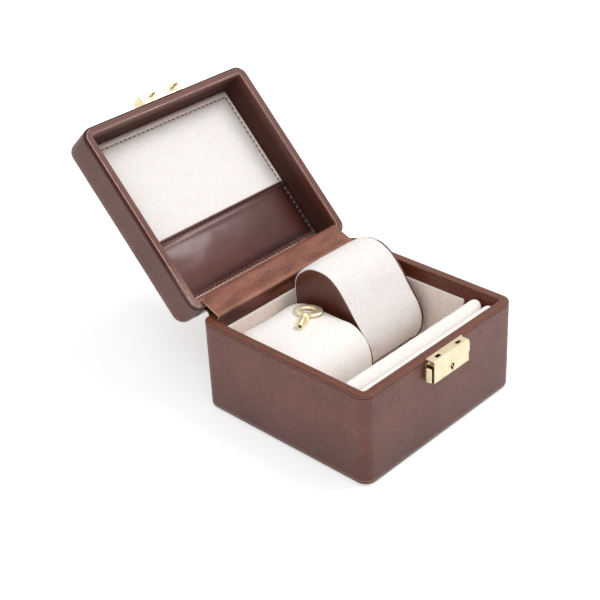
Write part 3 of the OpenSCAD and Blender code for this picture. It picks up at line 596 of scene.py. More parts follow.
def cushion(side, centre, tilt, at_end, in_middle, tucked, seed):
    """One cushion. at_end and in_middle say how far it stands out from the plain oval, as (degrees
    round it, millimetres), and tucked is how far the lower back of its inner end is drawn in."""
    line, out = section_line(AROUND)
    round_at = np.degrees(np.arctan2(out[:, 1], out[:, 0]))
    low, high = (np.interp(round_at, *np.array(rows, float).T, period=360) for rows in (at_end, in_middle))
    tuck = tucked * np.exp(-((round_at + 50) / 34) ** 2)
    lean = np.array(Matrix.Rotation(math.radians(tilt), 3, "X"))
    last = HALF_WIDE - 0.35
    stations = np.r_[-last, -last + 0.8, -last + 1.9, np.linspace(-last + 3.4, last - 3.4, 17),
                     last - 1.9, last - 0.8, last]
    rng = np.random.default_rng(seed)
    pucker = np.convolve(np.tile(rng.normal(size=AROUND), 3), np.ones(3) / 3, "same")[AROUND:2 * AROUND]

    def ring(x):
        from_end = min(x - stations[0], stations[-1] - x)
        rise = 1 - (1 - min(from_end / 7.5, 1.0)) ** 2.6
        near_inner = max(0.0, 1 - (x - stations[0] if side == "right" else stations[-1] - x) / 16.0)
        stand = low + (high - low - 0.8) * rise - tuck * near_inner ** 1.5
        return line + out * (stand + 0.14 * pucker * max(0.0, 1 - from_end / 5.0))[:, None]

    points = [(x, a, b) for x in stations for a, b in ring(x)]
    faces = tube_faces(len(stations), AROUND)
    held = [i for i in range(len(points)) if i < AROUND or i >= len(points) - AROUND]
    blown = swell("cushion_" + side, points, faces, held, 110.0, 0.95).reshape(len(stations), AROUND, 3)

    # The suede rolls over at both ends and goes in behind the leather discs
    hem = ((0.16, 0.1), (0.24, 0.3), (0.12, 0.52), (-0.4, 0.66), (-2.0, 0.7))
    open_end = -1 if side == "right" else 0
    tight = {end: np.exp(-((round_at + 50) / 42) ** 2) if end == open_end else np.ones(AROUND)
             for end in (-1, 1)}
    before, after = ([np.c_[edge[:, 0] + end * (step - 0.35 * tight[end]), edge[:, 1:] - out * drop]
                      for step, drop in hem] for end, edge in ((-1, blown[0]), (1, blown[-1])))
    rows = before[::-1] + list(blown) + after

    def leaning(name, rings, marks=None):
        points = np.concatenate(rings) @ lean.T + np.array(centre)
        return piece(f"cushion_{side}_{name}", points, tube_faces(len(rings), AROUND), marks)

    wrap = smoothed(leaning("suede", rows))
    ripple(wrap, 0.2, 11, seed)
    body = f"cushion_{side}"
    dress(wrap, cushion_suede[side], "suede", body, f"{body}_wrap", f"{body}_core")

    for end in (-1, 1):
        which = "inner" if (end < 0) == (side == "right") else "outer"
        edge = blown[0 if end < 0 else -1][:, 1:] - out * (0.62 - 0.85 * tight[end])[:, None]
        middle = edge.mean(axis=0)
        face_x = end * (HALF_WIDE - (0.3 if end == open_end else 0.05))
        rings = [np.c_[np.full(AROUND, face_x - end * 1.7), edge]]
        for share, rise in ((1.0, -0.3), (0.985, -0.02), (0.95, 0.1), (0.86, 0.14), (0.7, 0.05),
                            (0.5, -0.05), (0.3, -0.1), (0.12, -0.12)):
            rings.append(np.c_[np.full(AROUND, face_x + end * (rise - 0.3)),
                               middle + (edge - middle) * share])
        rubs = np.repeat([0, 0.5, 0.6, 0.2, 0, 0, 0, 0, 0], AROUND)
        disc = leaning(f"{which}_disc", rings, {"wear": rubs})
        ripple(disc, 0.22, 8, seed + end)
        dress(disc, end_leather, "end_leather", body, f"{body}_end_{which}")


cushion("left", (-27.0, 19.3, 27.95), 0.0,
        ((0, -1.0), (50, -0.5), (90, -2.0), (130, -1.8), (180, -1.5), (270, -1.0)),
        ((0, 0.9), (30, 2.1), (50, 2.6), (70, 1.5), (90, 0.3), (130, 0.5), (180, 0.0), (270, 0.0)),
        0.0, 11)
cushion("right", (27.0, 24.6, 38.1), 53.0,
        ((-53, -0.5), (0, 1.6), (45, 1.7), (90, 1.0), (130, 0.8), (180, 0.0)),
        ((-143, 0.0), (-53, 0.1), (-20, 2.4), (0, 3.4), (45, 3.1), (90, 1.8), (130, 1.0), (180, 0.0)),
        3.2, 12)

# ---------------------------------------------------------------- lid covering
# The lid is covered like the base: leather over its top and walls, and a folded strip over its rim.
# Its pieces are drawn shut and turned back on the hinge to where the lid stands open.
HINGE_Y, HINGE_Z, OPEN_DEG = 64.2, 59.7, 134.0
LID_RIM, LID_SEAM, LID_TOP, TOP_R, PANEL_Z = 58.9, 60.3, 84.1, 5.0, 79.7
hinge_at = Matrix.Translation(Vector((0, HINGE_Y, HINGE_Z)) * MM)
opened = hinge_at @ Matrix.Rotation(math.radians(-OPEN_DEG), 4, "X") @ hinge_at.inverted()


def on_lid(obj):
    """Turns a piece that is drawn shut back to where the lid stands."""
    obj.matrix_world = opened
    return obj


profile = [(i, LID_TOP, 0) for i in np.arange(58.5, 6, -5.0)]
# The lid's rounded edge and walls are marked inside at 0.3, which paints them darker than the base's walls:
# painted shade. The rounded edge is also rubbed lighter.
profile += [(i, z, 0.2 if 1 < k < 7 else 0.1, 0.3)
            for k, (i, z) in enumerate(arc(TOP_R, LID_TOP - TOP_R, TOP_R, 90, 180, 8))]
profile += [(0, z, 0, 0.3) for z in np.linspace(LID_TOP - TOP_R - 3, LID_SEAM + 3, 4)]
# Darker towards the seam: painted shade. The faint pale line just above it is a painted highlight.
profile += [(0, LID_SEAM + 1.6, 0, 0.35), (0, LID_SEAM + 0.85, 0.1, 0.5), (0.06, LID_SEAM + 0.6, 0, 0.7),
            (0.25, LID_SEAM + 0.35, 0, 1), (0.6, LID_SEAM + 0.1, 0, 1), (HIDE, LID_SEAM, 0, 1)]
profile += [(i, z, 0) for i, z in arc(TOP_R, LID_TOP - TOP_R, TOP_R - HIDE, 180, 90, 4)]
profile += [(i, LID_TOP - HIDE, 0) for i in (30.0, 58.5)]
crown = round_case("lid_covering", profile, capped=True)
ripple(crown, 0.09, 21, 6)
dress(on_lid(crown), cover_leather, "cover_leather", "lid", "lid_leather")
# Its third colour is that of the painted highlight lines on its rim, and its fourth is painted shade
lid_rim_leather = leather(
    "lid_rim_leather", ((84, 38, 27), (114, 58, 42), (226, 196, 184), (66, 32, 24)), 0.42, 0.06,
    {"Coat Roughness": 0.45, "Specular IOR Level": 0.4}, 0.5, 0.5)
# The outer rounding is painted dark: painted shade
edge = ((0, 0.6), (0, 0.85), (0, 1), (0, 1), (0, 1), (0, 0.9), (0, 0.5))
# The two pale lines on the flat are painted highlights, and the flat between them gets a little painted
# shade
face = ((1.4, 0.0, 0.1, 0.1), (1.55, -0.05, 1, 0), (1.85, -0.05, 1, 0), (2.0, 0.02, 0, 0.2),
        (2.6, 0.03, 0, 0.22), (WALL - INNER_R - 0.5, 0.02, 0, 0.22),
        (WALL - INNER_R - 0.35, -0.02, 0.9, 0), (WALL - INNER_R - 0.1, -0.02, 0.9, 0))
lid_rim = round_case("lid_rim_strip", rim_profile(LID_SEAM, LID_RIM, -1, PANEL_Z, 1.4, edge, face))
ripple(lid_rim, 0.06, 14, 7)
# The painted highlight line lies at the outer edge on the left wall and at the inner edge on the other
# walls, and crosses between them at the corners. Near the back of the left wall the flat gets a patch of
# painted highlight too.
marks = lid_rim.data.attributes["wear"].data
for vertex in lid_rim.data.vertices:
    x, y, z = vertex.co / MM
    if abs(z - LID_RIM) < 0.4 and marks[vertex.index].value > 0.5:
        inset = min(HALF_X - abs(x), HALF_Y - abs(y))
        left = clamp(0.5 + (-x - abs(y)) / 6)
        share = left if inset < 3 else 1 - left
        marks[vertex.index].value *= share * (0.75 + 0.6 * waves(x / 13, y / 13, 3.0))
    elif abs(z - LID_RIM) < 0.4 and x < -50:
        marks[vertex.index].value += 0.3 * clamp((y - 30) / 20)
dress(on_lid(lid_rim), lid_rim_leather, "rim_leather", "lid", "lid_rim_leather")

# ---------------------------------------------------------------- lid panel
# The lid's inside is a card panel covered in cream suede, with a band outside its stitched line.
# Brown thread is sewn through in short stitches, which draw the suede down into a shallow groove.
PANEL_X, PANEL_Y, PANEL_BACK = 59.1, 56.1, 81.0
SEW_X, SEW_FRONT, SEW_BACK, SEW_HEM = 56.9, -52.3, 51.5, 14.6
POCKET_Y0, POCKET_Y1, POCKET_X, POCKET_Z = 12.4, 54.8, 58.6, 78.8
PITCH, STITCH, THREAD = 3.6, 3.1, 0.34


def lines_with(low, high, step, *fine):
    """Places from low to high, closer together near the fine ones."""
    near = [f + d for f in fine for d in (-1.6, -0.8, -0.4, 0.0, 0.4, 0.8, 1.6)]
    far = [x for x in np.linspace(low, high, round((high - low) / step) + 1)
           if min([abs(x - f) for f in fine] + [9]) > 2.0]
    return sorted({round(float(x), 3) for x in near + far + [low, high] if low <= x <= high})


def sewn_face(name, xs, ys, face, back):
    """A panel that lies flat at back, with its face at face(x, y)."""
    points = [(x, y, face(x, y)) for y in ys for x in xs] + [(x, y, back) for y in ys for x in xs]
    nx, ny = len(xs), len(ys)
    under = nx * ny
    faces = grid_faces(ny, nx, closed_rows=False, closed_columns=False)
    faces += [tuple(under + k for k in quad) for quad in faces]
    edge = list(range(nx)) + [i * nx + nx - 1 for i in range(1, ny)]
    edge += [(ny - 1) * nx + j for j in range(nx - 2, -1, -1)] + [i * nx for i in range(ny - 2, 0, -1)]
    faces += [(a, b, under + b, under + a) for a, b in zip(edge, edge[1:] + edge[:1])]
    return piece(name, points, faces)


def groove(distance, depth, width):
    return depth * math.exp(-(distance / width) ** 2)


def panel_face(x, y):
    inside = min(SEW_X - abs(x), y - SEW_FRONT)
    puff = 0.45 * (1 - math.exp(-max(inside, 0) / 5.0)) + 0.25 * (1 - math.exp(-max(-inside, 0) / 1.2))
    calm = clamp((POCKET_Y0 + 1 - y) / 6.0)
    edge = max(0.0, 0.7 - min(PANEL_X - abs(x), PANEL_Y + y)) ** 2
    wave = 0.12 * waves(x / 16, y / 16, 2.0)
    return PANEL_Z - (puff + wave) * calm + groove(inside, 0.5, 0.8) * calm + 0.6 * edge


panel_suede = suede("panel_suede", (242, 235, 230), (252, 249, 246), 0.25, (238, 216, 203), 0.42, 8.0)
panel = sewn_face("lid_panel_suede", lines_with(-PANEL_X, PANEL_X, 2.6, -SEW_X, SEW_X),
                  lines_with(-PANEL_Y, PANEL_Y, 2.6, SEW_FRONT), panel_face, PANEL_BACK)
# The band outside the stitched line is marked inside, which paints it darker and warmer: painted shade near
# the lid's walls
mark(panel.data, "inside", [0.75 * clamp(1 - min(SEW_X - abs(v.co.x / MM), v.co.y / MM - SEW_FRONT) / 1.2)
                            for v in panel.data.vertices])
dress(on_lid(panel), panel_suede, "suede", "lid", "lid_panel")


def thread(name, roughness, dark, pale, sheen=0.2, scale=5200.0, depth=0.08):
    """The twist of a thread in two tones; also the painted shade of a needle hole."""
    made, tree, shader, place = finish(name, {"Roughness": roughness, "Sheen Weight": sheen})
    ply = clouds(tree, place, scale)
    feed(tree, shader, ply, depth, Base_Color=mix(tree, ply, srgb(*dark), srgb(*pale)))
    return made


thread_dark = thread("thread_dark", 0.8, (64, 32, 25), (96, 56, 45))
thread_pale = thread("thread_pale", 0.75, (124, 84, 72), (186, 146, 130))
# Needle holes are drawn as near-black beads: painted shade
hole_dark = thread("needle_hole", 0.95, (22, 12, 10), (48, 28, 24), 0.0, 4000.0, 0.05)


def bead(at, along, out, length, radius, lift):
    """A rounded grain of thread that dips at its ends: (points, faces)."""
    side = along.cross(out).normalized()
    points, round_n = [], 6
    rings = ((-0.5, 0.35, 1.5), (-0.4, 0.8, 0.6), (-0.18, 1.0, 0.0),
             (0.18, 1.0, 0.0), (0.4, 0.8, 0.6), (0.5, 0.35, 1.5))
    for t, size, drop in rings:
        for k in range(round_n):
            turn = 2 * math.pi * k / round_n
            points.append(at + along * (t * length) + out * (lift - drop * radius)
                          + (side * math.cos(turn) + out * math.sin(turn)) * (radius * size))
    return points, tube_faces(len(rings), round_n)


def seam(name, runs, surface, material, slot, holes=True, radius=THREAD, length=STITCH, hole=(1.1, 0.5)):
    """Rows of stitches on the lid's inside; runs are (x0, y0, x1, y1), and surface(x, y) is the height."""
    out = Vector((0, 0, -1))
    grains, pits = ([], []), ([], [])
    rng = np.random.default_rng(len(name))
    for x0, y0, x1, y1 in runs:
        start, line = Vector((x0, y0, 0)), Vector((x1 - x0, y1 - y0, 0))
        count = round(line.length / PITCH)
        along = line.normalized()
        for i in range(count):
            at = start + line * ((i + 0.5) / count)
            lean = (along + along.cross(out) * float(0.10 + rng.normal() * 0.03)).normalized()
            here = Vector((at.x, at.y, surface(at.x, at.y)))
            # Each stitch is followed by a needle hole, drawn as a dark bead: painted shade
            for store, parts in (
                    (grains, bead(here, lean, out, length * float(1 + rng.normal() * 0.04), radius, 0.12)),
                    (pits, bead(here + along * (PITCH / 2), along, out, *hole, -0.12))):
                first = len(store[0])
                store[0].extend(parts[0])
                store[1].extend(tuple(first + k for k in face) for face in parts[1])
    dress(on_lid(piece(name, grains[0], grains[1])), material, slot, "lid")
    if holes:
        dress(on_lid(piece(name + "_holes", pits[0], pits[1])), hole_dark, slot, "lid")


seam("lid_panel_stitches",
     [(-SEW_X, SEW_FRONT, SEW_X, SEW_FRONT), (-SEW_X, SEW_FRONT, -SEW_X, POCKET_Y0),
      (SEW_X, SEW_FRONT, SEW_X, POCKET_Y0)], panel_face, thread_dark, "suede", holes=False)

# ---------------------------------------------------------------- lid pocket
# A flat pocket of glossy dark leather is sewn to the panel round three sides.
# Its top edge is turned over and stitched, and the leather stands a little away between its seams.
pocket_leather = leather(
    "pocket_leather", ((80, 35, 28), (104, 48, 39), (178, 134, 120), (48, 21, 17)), 0.27, 0.03,
    {"Coat Roughness": 0.12, "Specular IOR Level": 0.38}, 0.34, 0.35, pore=0.42, crease=3.2)


def pocket_face(x, y):
    side, top, foot = POCKET_X - abs(x), y - POCKET_Y0, POCKET_Y1 - y
    sewn = min(abs(abs(x) - SEW_X), abs(y - SEW_BACK)) if y > SEW_HEM else abs(abs(x) - SEW_X)
    hem = abs(y - SEW_HEM)
    across = max(0.0, 1 - (abs(x) / SEW_X) ** 2.6)
    down = clamp((y - SEW_HEM) / (SEW_BACK - SEW_HEM))
    arch = (4 * down * (1 - down)) ** 0.62
    bulge = 2.3 * across * arch * (1 + 0.3 * waves(x / 34, y / 30, 5.0) + 0.07 * waves(x / 11, y / 9, 8.0))
    ridge = 0.42 * math.exp(-((y - SEW_HEM - 2.6) / 1.5) ** 2) * across
    lip = 0.65 / (1 + math.exp((top - 3.6) / 0.25))
    edge = max(0.0, 0.55 - min(side, top, foot)) ** 2 * 2.2
    pull = 0.1 * math.cos(2 * math.pi * x / PITCH) * math.exp(-(hem / 1.8) ** 2)
    return POCKET_Z - bulge - ridge - lip + groove(sewn, 0.38, 0.7) + groove(hem, 0.4, 0.6) + edge + pull


pocket = sewn_face("lid_pocket_leather", lines_with(-POCKET_X, POCKET_X, 0.9, -SEW_X, SEW_X),
                   lines_with(POCKET_Y0, POCKET_Y1, 1.6,
                              POCKET_Y0 + 0.4, SEW_HEM, POCKET_Y0 + 3.7, SEW_BACK),
                   pocket_face, PANEL_Z + 0.1)
# The cut edges are rubbed lighter, and a pale scalloped band along the foot, between the stitches, is a
# painted highlight. Painted shade darkens the leather where it dips to its seams and slopes away above the
# foot, and grows towards the right, where it also dulls the sheen.
edge_wear_and_foot_highlight, painted_shading = [], []
for vertex in pocket.data.vertices:
    x, y, _ = vertex.co / MM
    near = min(POCKET_X - abs(x), y - POCKET_Y0, POCKET_Y1 - y)
    below = 0.9 * (y - SEW_BACK + 1.5) + 0.25 * math.cos(2 * math.pi * x / PITCH)
    edge_wear_and_foot_highlight.append(max(0.0, 1 - near / 0.9, min(0.85, below)))
    shaded = clamp(max(1 - (SEW_X + 0.5 - abs(x)) / 6.0, 0.9 - abs(SEW_BACK - 2.6 - y) / 4.5,
                       1 - abs(y - SEW_HEM + 1.0) / 1.6))
    painted_shading.append(min(1.0, 0.75 * shaded + 0.55 * clamp((x + 38) / 80)))
mark(pocket.data, "wear", edge_wear_and_foot_highlight)
mark(pocket.data, "inside", painted_shading)
dress(on_lid(pocket), pocket_leather, "pocket_leather", "lid", "lid_pocket")
seam("lid_pocket_stitches", [(-SEW_X, POCKET_Y0, -SEW_X, SEW_BACK), (SEW_X, POCKET_Y0, SEW_X, SEW_BACK)],
     pocket_face, thread_pale, "pocket_leather", length=2.6)
seam("lid_pocket_foot_stitches", [(-SEW_X, SEW_BACK, SEW_X, SEW_BACK)],
     pocket_face, thread_dark, "pocket_leather", radius=0.3, length=2.2, hole=(1.7, 0.72))
seam("lid_pocket_hem_stitches", [(-SEW_X, SEW_HEM, SEW_X, SEW_HEM)],
     pocket_face, thread_dark, "pocket_leather", radius=0.32)

# ---------------------------------------------------------------- hinge leathers
# Inside, a broad tan strip runs from the back wall to the lid's and stops the lid when it is taut.
# Outside, a thin dark strip is glued to both backs and creases where the lid turns.
strip_leather = leather(
    "strip_leather", ((106, 57, 41), (156, 94, 72), (214, 170, 136), (74, 36, 26)), 0.4, 0.05,
    {"Coat Roughness": 0.25, "Specular IOR Level": 0.35}, 0.1, 0.2)
fold_leather = leather(
    "fold_leather", ((56, 31, 25), (84, 52, 43), (150, 118, 106), (36, 21, 18)), 0.34, 0.06,
    {"Coat Roughness": 0.22}, 0.3)


def lid_point(y, z):
    """Where a shut-lid place (y, z) goes when the lid is open, in millimetres."""
    moved = opened @ (Vector((0, y, z)) * MM) / MM
    return moved.y, moved.z


def smooth_path(controls, step):
    """Even points along a soft curve through the controls, (y, z)."""
    knots = np.array([controls[0], *controls, controls[-1]], float)
    line = []
    for a, b, c, d in zip(knots, knots[1:], knots[2:], knots[3:]):
        for t in np.linspace(0, 1, 24, endpoint=False):
            line.append(0.5 * (2 * b + (c - a) * t + (2 * a - 5 * b + 4 * c - d) * t ** 2
                               + (3 * b - a - 3 * c + d) * t ** 3))
    line = np.array(line + [knots[-1]])
    reach = np.r_[0, np.cumsum(np.linalg.norm(np.diff(line, axis=0), axis=1))]
    at = np.linspace(0, reach[-1], round(reach[-1] / step) + 1)
    return np.c_[np.interp(at, reach, line[:, 0]), np.interp(at, reach, line[:, 1])]


def no_mark(x, share):
    """For a strap that carries no such mark."""
    return 0.0


def band(name, path, half_x, step_x, shape, dark=no_mark, highlit_at=no_mark):
    """A strap across the case along a (y, z) path. shape(x, share along) moves a point by (dy, dz),
    dark(x, share along) marks where the colour is darker, and the last argument where a highlight is
    painted."""
    tangent = np.gradient(path, axis=0)
    tangent /= np.linalg.norm(tangent, axis=1)[:, None]
    normal = np.c_[-tangent[:, 1], tangent[:, 0]]
    half = HINGE_T / 2
    section = np.concatenate([path + normal * half, [path[-1] + tangent[-1] * half * 0.7],
                              (path - normal * half)[::-1], [path[0] - tangent[0] * half * 0.7]])
    share = np.r_[np.linspace(0, 1, len(path)), 1, np.linspace(1, 0, len(path)), 0]
    middle = np.concatenate([path, path[-1:], path[::-1], path[:1]])
    xs = np.r_[-half_x, -half_x + 0.12, -half_x + 0.35,
               np.linspace(-half_x + 1.0, half_x - 1.0, round(2 * half_x / step_x)),
               half_x - 0.35, half_x - 0.12, half_x]
    points, wear, inside = [], [], []
    for x in xs:
        close = {0.0: 0.55, 0.12: 0.85}.get(round(half_x - abs(x), 3), 1.0)
        for (y, z), (my, mz), s in zip(section, middle, share):
            dy, dz = shape(x, s)
            points.append((x, my + (y - my) * close + dy, mz + (z - mz) * close + dz))
            wear.append(1.0 if half_x - abs(x) < 0.2 else highlit_at(x, s))
            inside.append(dark(x, s))
    return piece(name, points, tube_faces(len(xs), len(section)), {"wear": wear, "inside": inside})


STRIP_X, STRIP_Y, COVER_X, COVER_Y, HINGE_T = 57.6, 55.8, 57.0, 62.42, 0.8
lid_start = lid_point(STRIP_Y, 59.6)
path = smooth_path([(STRIP_Y, 50.0), (STRIP_Y, 53.0), (STRIP_Y - 0.1, 56.4), (STRIP_Y - 0.9, 58.6),
                    (53.75, 59.7), (54.6, 60.35), (58.4, 61.75), (63.8, 63.95), (68.0, 65.75),
                    (lid_start[0] + 0.1, lid_start[1] - 0.15),
                    *[lid_point(STRIP_Y, z) for z in (61.6, 70.0, PANEL_Z - 0.5)]], 0.7)


def strip_shape(x, share):
    """The taut part hangs a little between its ends, and the fold is softer in places."""
    slack = math.exp(-((share - 0.42) / 0.16) ** 2)
    soft = waves(x / 26, share * 3, 4.0)
    return -0.25 * soft * slack, 0.45 * soft * slack


def strip_shade_and_streaks(x, share):
    """Painted shade where the strip goes down inside, with faint darker streaks across the taut part."""
    streak = waves(x / 18, share * 7, 6.0) + 0.3 * waves(x / 9, share * 22, 1.0)
    return clamp(0.5 / (1 + math.exp((share - 0.225) / 0.012)) + 0.2 + 0.7 * streak)


def strip_highlight(x, share):
    """A painted highlight along the fold."""
    return (0.3 + 0.3 * waves(x / 18, 2.0, 9.0)) * math.exp(-((share - 0.255) / 0.016) ** 2)


strip = band("hinge_strip_leather", path, STRIP_X, 2.4, strip_shape, strip_shade_and_streaks, strip_highlight)
ripple(strip, 0.05, 12, 9)
dress(strip, strip_leather, "strip_leather", None,
      "hinge_strip_base", "hinge_strip_span", "hinge_strip_lid")
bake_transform(strip)

path = smooth_path([(COVER_Y, 44.6), (COVER_Y, 50.0), (COVER_Y, 55.4), (COVER_Y + 0.35, 57.2), (63.6, 58.9),
                    (65.3, 59.75), *[lid_point(COVER_Y, z) for z in (61.9, 64.0, 72.9)]], 0.5)


def crinkle(x, share):
    """The leather bunches where it turns."""
    bunched = math.exp(-((share - 0.52) / 0.12) ** 2)
    fine = waves(x / 3.2, share * 16, 1.0) + 0.6 * waves(x / 1.3, share * 30, 2.0)
    return 0.28 * fine * bunched, -0.32 * abs(fine) * bunched


cover = band("hinge_cover_leather", path, COVER_X, 1.0, crinkle)
dress(cover, fold_leather, "cover_leather", None, "hinge_cover_base", "hinge_cover_fold", "hinge_cover_lid")
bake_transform(cover)

# ---------------------------------------------------------------- lock
# A pressed brass case is riveted to the front wall over a back plate. A slide runs in it: its thumb
# tab stands out of the left end and its tongue out of the right one. The hooks drop in from above.
LOCK_X0, LOCK_X1, LOCK_Y0, LOCK_Y1, LOCK_Z0 = -15.5, 14.7, -68.2, -62.8, 44.6
SHEET, BEND_R, HOOK_X, HOOK_Y, KEYHOLE_Z = 0.8, 0.65, 8.8, -65.0, 49.0
SLOT_L, SLOT_W, BORE_R, HOLE_R, POST_R, RIVET_X = 3.8, 2.2, 2.65, 1.7, 0.52, 12.6

# Fine scratches, smears and the dull patches that fingers leave on lacquered metal
polish, come, go = effect(
    "Polished metal",
    [("Place", "Vector", None), ("Scratch mm", "Float", 0.25), ("Smear mm", "Float", 5.0),
     ("Gloss", "Float", 0.2), ("Dull", "Float", 0.4)],
    [("Height", "Float"), ("Tone", "Float"), ("Roughness", "Float")])
in_mm = millimetres(polish, come["Place"])
drawn = node(polish, "ShaderNodeVectorMath", {
    0: in_mm, 1: (0.12, 1.0, 1.0)}, operation="MULTIPLY").outputs[0]
line = clouds(polish, drawn, one_in(polish, come["Scratch mm"]), 4.0)
smear = clouds(polish, in_mm, one_in(polish, come["Smear mm"]), 4.0, Distortion=0.7)
smear = spread(polish, smear, 0.38, 0.66)
polish.links.new(line, go["Height"])
polish.links.new(smear, go["Tone"])
worked = times(polish, plus(polish, line, smear), 0.6)
polish.links.new(spread(polish, worked, 0.0, 1.0, come["Gloss"], come["Dull"]), go["Roughness"])


def metal(name, bright, dull, gloss, dim, scratch=0.02):
    """A polished metal with its two tones and its range of gloss."""
    made, tree, shader, place = finish(name, {"Metallic": 1.0})
    face = use(tree, polish, {"Place": place, "Gloss": gloss, "Dull": dim})
    feed(tree, shader, face["Height"], scratch, Roughness=face["Roughness"],
         Base_Color=mix(tree, face["Tone"], srgb(*bright), srgb(*dull)))
    return made


lock_brass = metal("lock_brass", (232, 217, 184), (220, 204, 169), 0.22, 0.34, 0.006)
# The hooks' brass is a darker copy of the lock's: painted shade on the hooks and their crosspiece
hook_brass = metal("hook_brass", (190, 172, 116), (112, 96, 56), 0.35, 0.5)
rivet_brass = metal("rivet_brass", (232, 212, 164), (206, 182, 130), 0.25, 0.45)
spring_steel = metal("spring_steel", (176, 176, 176), (130, 130, 132), 0.25, 0.45)


def cut_out(obj, *tools):
    """Takes each tool's shape out of the piece."""
    for tool in tools:
        taken = obj.modifiers.new("cut", "BOOLEAN")
        taken.operation, taken.solver, taken.object = "DIFFERENCE", "EXACT", tool
    applied(obj)
    for tool in tools:
        bpy.data.objects.remove(tool)
    return obj


def eased(obj, width, segments=2):
    """Breaks the sharp edges, as polishing does."""
    bevel = obj.modifiers.new("ease", "BEVEL")
    bevel.width, bevel.segments, bevel.limit_method = width * MM, segments, "ANGLE"
    bevel.angle_limit, bevel.harden_normals = math.radians(32), True
    obj.data.shade_smooth()
    return applied(obj)


def extruded(name, outline, low, high, axis=0):
    """A plate or bar: an outline in the other two axes, drawn from low to high along one."""
    points = [(*pair[:axis], at, *pair[axis:]) for at in (low, high) for pair in outline]
    return piece(name, points, tube_faces(2, len(outline)))


def rounded(y0, y1, z0, z1, radius, steps=5):
    """A rectangle's outline with round corners."""
    left, right, low, high = y0 + radius, y1 - radius, z0 + radius, z1 - radius
    return [at for quarter, (y, z) in enumerate(((right, high), (left, high), (left, low), (right, low)))
            for at in arc(y, z, radius, 90 * quarter, 90 * quarter + 90, steps)]


def turned(name, profile, centre, axis, count=40):
    """A piece turned on a lathe: profile is (radius, along) from end to end."""
    turn = [2 * math.pi * k / count for k in range(count)]
    pairs = [((radius * math.cos(t), radius * math.sin(t)), along)
             for radius, along in profile for t in turn]
    points = np.array([(*pair[:axis], along, *pair[axis:]) for pair, along in pairs]) + centre
    return piece(name, points, tube_faces(len(profile), count), sharp=38)


def joined(name, *parts):
    """Several solids of one piece, as one object."""
    with bpy.context.temp_override(active_object=parts[0], selected_editable_objects=list(parts),
                                   selected_objects=list(parts)):
        bpy.ops.object.join()
    parts[0].name = parts[0].data.name = name
    return parts[0]


outline = [(LOCK_Y1, BASE_RIM)] + arc(LOCK_Y0 + BEND_R, BASE_RIM - BEND_R, BEND_R, 90, 180, 6)
outline += arc(LOCK_Y0 + BEND_R, LOCK_Z0 + BEND_R, BEND_R, 180, 270, 6)
outline += [(LOCK_Y1, LOCK_Z0), (LOCK_Y1, LOCK_Z0 + SHEET),
            (LOCK_Y0 + SHEET + 0.2, LOCK_Z0 + SHEET), (LOCK_Y0 + SHEET, LOCK_Z0 + SHEET + 0.2),
            (LOCK_Y0 + SHEET, BASE_RIM - SHEET - 0.2), (LOCK_Y0 + SHEET + 0.2, BASE_RIM - SHEET),
            (LOCK_Y1, BASE_RIM - SHEET)]
case = extruded("lock_case", outline, LOCK_X0, LOCK_X1)
KEYHOLE, FACE_Y = (0, 0, KEYHOLE_Z), LOCK_Y0
tools = []
for middle in (-HOOK_X, HOOK_X):
    slot = rounded(middle - SLOT_L / 2, middle + SLOT_L / 2, HOOK_Y - SLOT_W / 2, HOOK_Y + SLOT_W / 2, 0.25)
    tools.append(extruded("slot", slot, BASE_RIM - 2, BASE_RIM + 1, axis=2))
tools.append(turned("bore", [(BORE_R, FACE_Y - 1), (BORE_R, FACE_Y + 2)], KEYHOLE, 1))
flap = eased(extruded("flap", rounded(LOCK_Y0 + SHEET, LOCK_Y1 - 0.3, 55.3, BASE_RIM - SHEET, 0.2),
                      LOCK_X0 + 0.15, LOCK_X0 + 0.6), 0.1)
case = joined("lock_case", eased(cut_out(case, *tools), 0.14), flap)
dress(case, lock_brass, "lock_brass", "base", "lock_housing")

# The barrel is a turned disc with a raised ring, a round hole, a slot below it and a post inside
barrel = turned("lock_barrel", [
    (0.05, FACE_Y + 1.5), (2.5, FACE_Y + 1.5), (2.58, FACE_Y + 1.3), (2.58, FACE_Y - 0.01),
    (3.05, FACE_Y - 0.01), (3.1, FACE_Y - 0.1), (2.9, FACE_Y - 0.19), (2.7, FACE_Y - 0.17),
    (2.5, FACE_Y - 0.03), (0.05, FACE_Y - 0.03)], KEYHOLE, 1, 48)
slit = rounded(-0.72, 0.72, KEYHOLE_Z - 2.75, KEYHOLE_Z, 0.2)
cut_out(barrel, turned("hole", [(HOLE_R, FACE_Y - 2), (HOLE_R, FACE_Y + 3)], KEYHOLE, 1),
        extruded("slit", slit, FACE_Y - 2, FACE_Y + 3, axis=1))
post = turned("post", [(0.05, FACE_Y + 1.4), (POST_R, FACE_Y + 1.4), (POST_R, FACE_Y + 0.1),
                       (POST_R - 0.1, FACE_Y - 0.05), (0.05, FACE_Y - 0.08)], KEYHOLE, 1, 20)
barrel = joined("lock_barrel", barrel, post)
# A near-black plug just behind the face fills the round hole: painted shade in place of its depth
depth = [(0.05, FACE_Y + 1.3), (HOLE_R - 0.01, FACE_Y + 1.3), (HOLE_R - 0.01, FACE_Y + 0.12),
         (0.05, FACE_Y + 0.12)]
depth = turned("keyhole_depth", depth, KEYHOLE, 1, 24)
dress(depth, hole_dark, "lock_brass", "key_barrel")
barrel.data.shade_smooth()
barrel.data.set_sharp_from_angle(angle=math.radians(35))
dress(barrel, lock_brass, "lock_brass", "key_barrel", "lock_key_barrel")

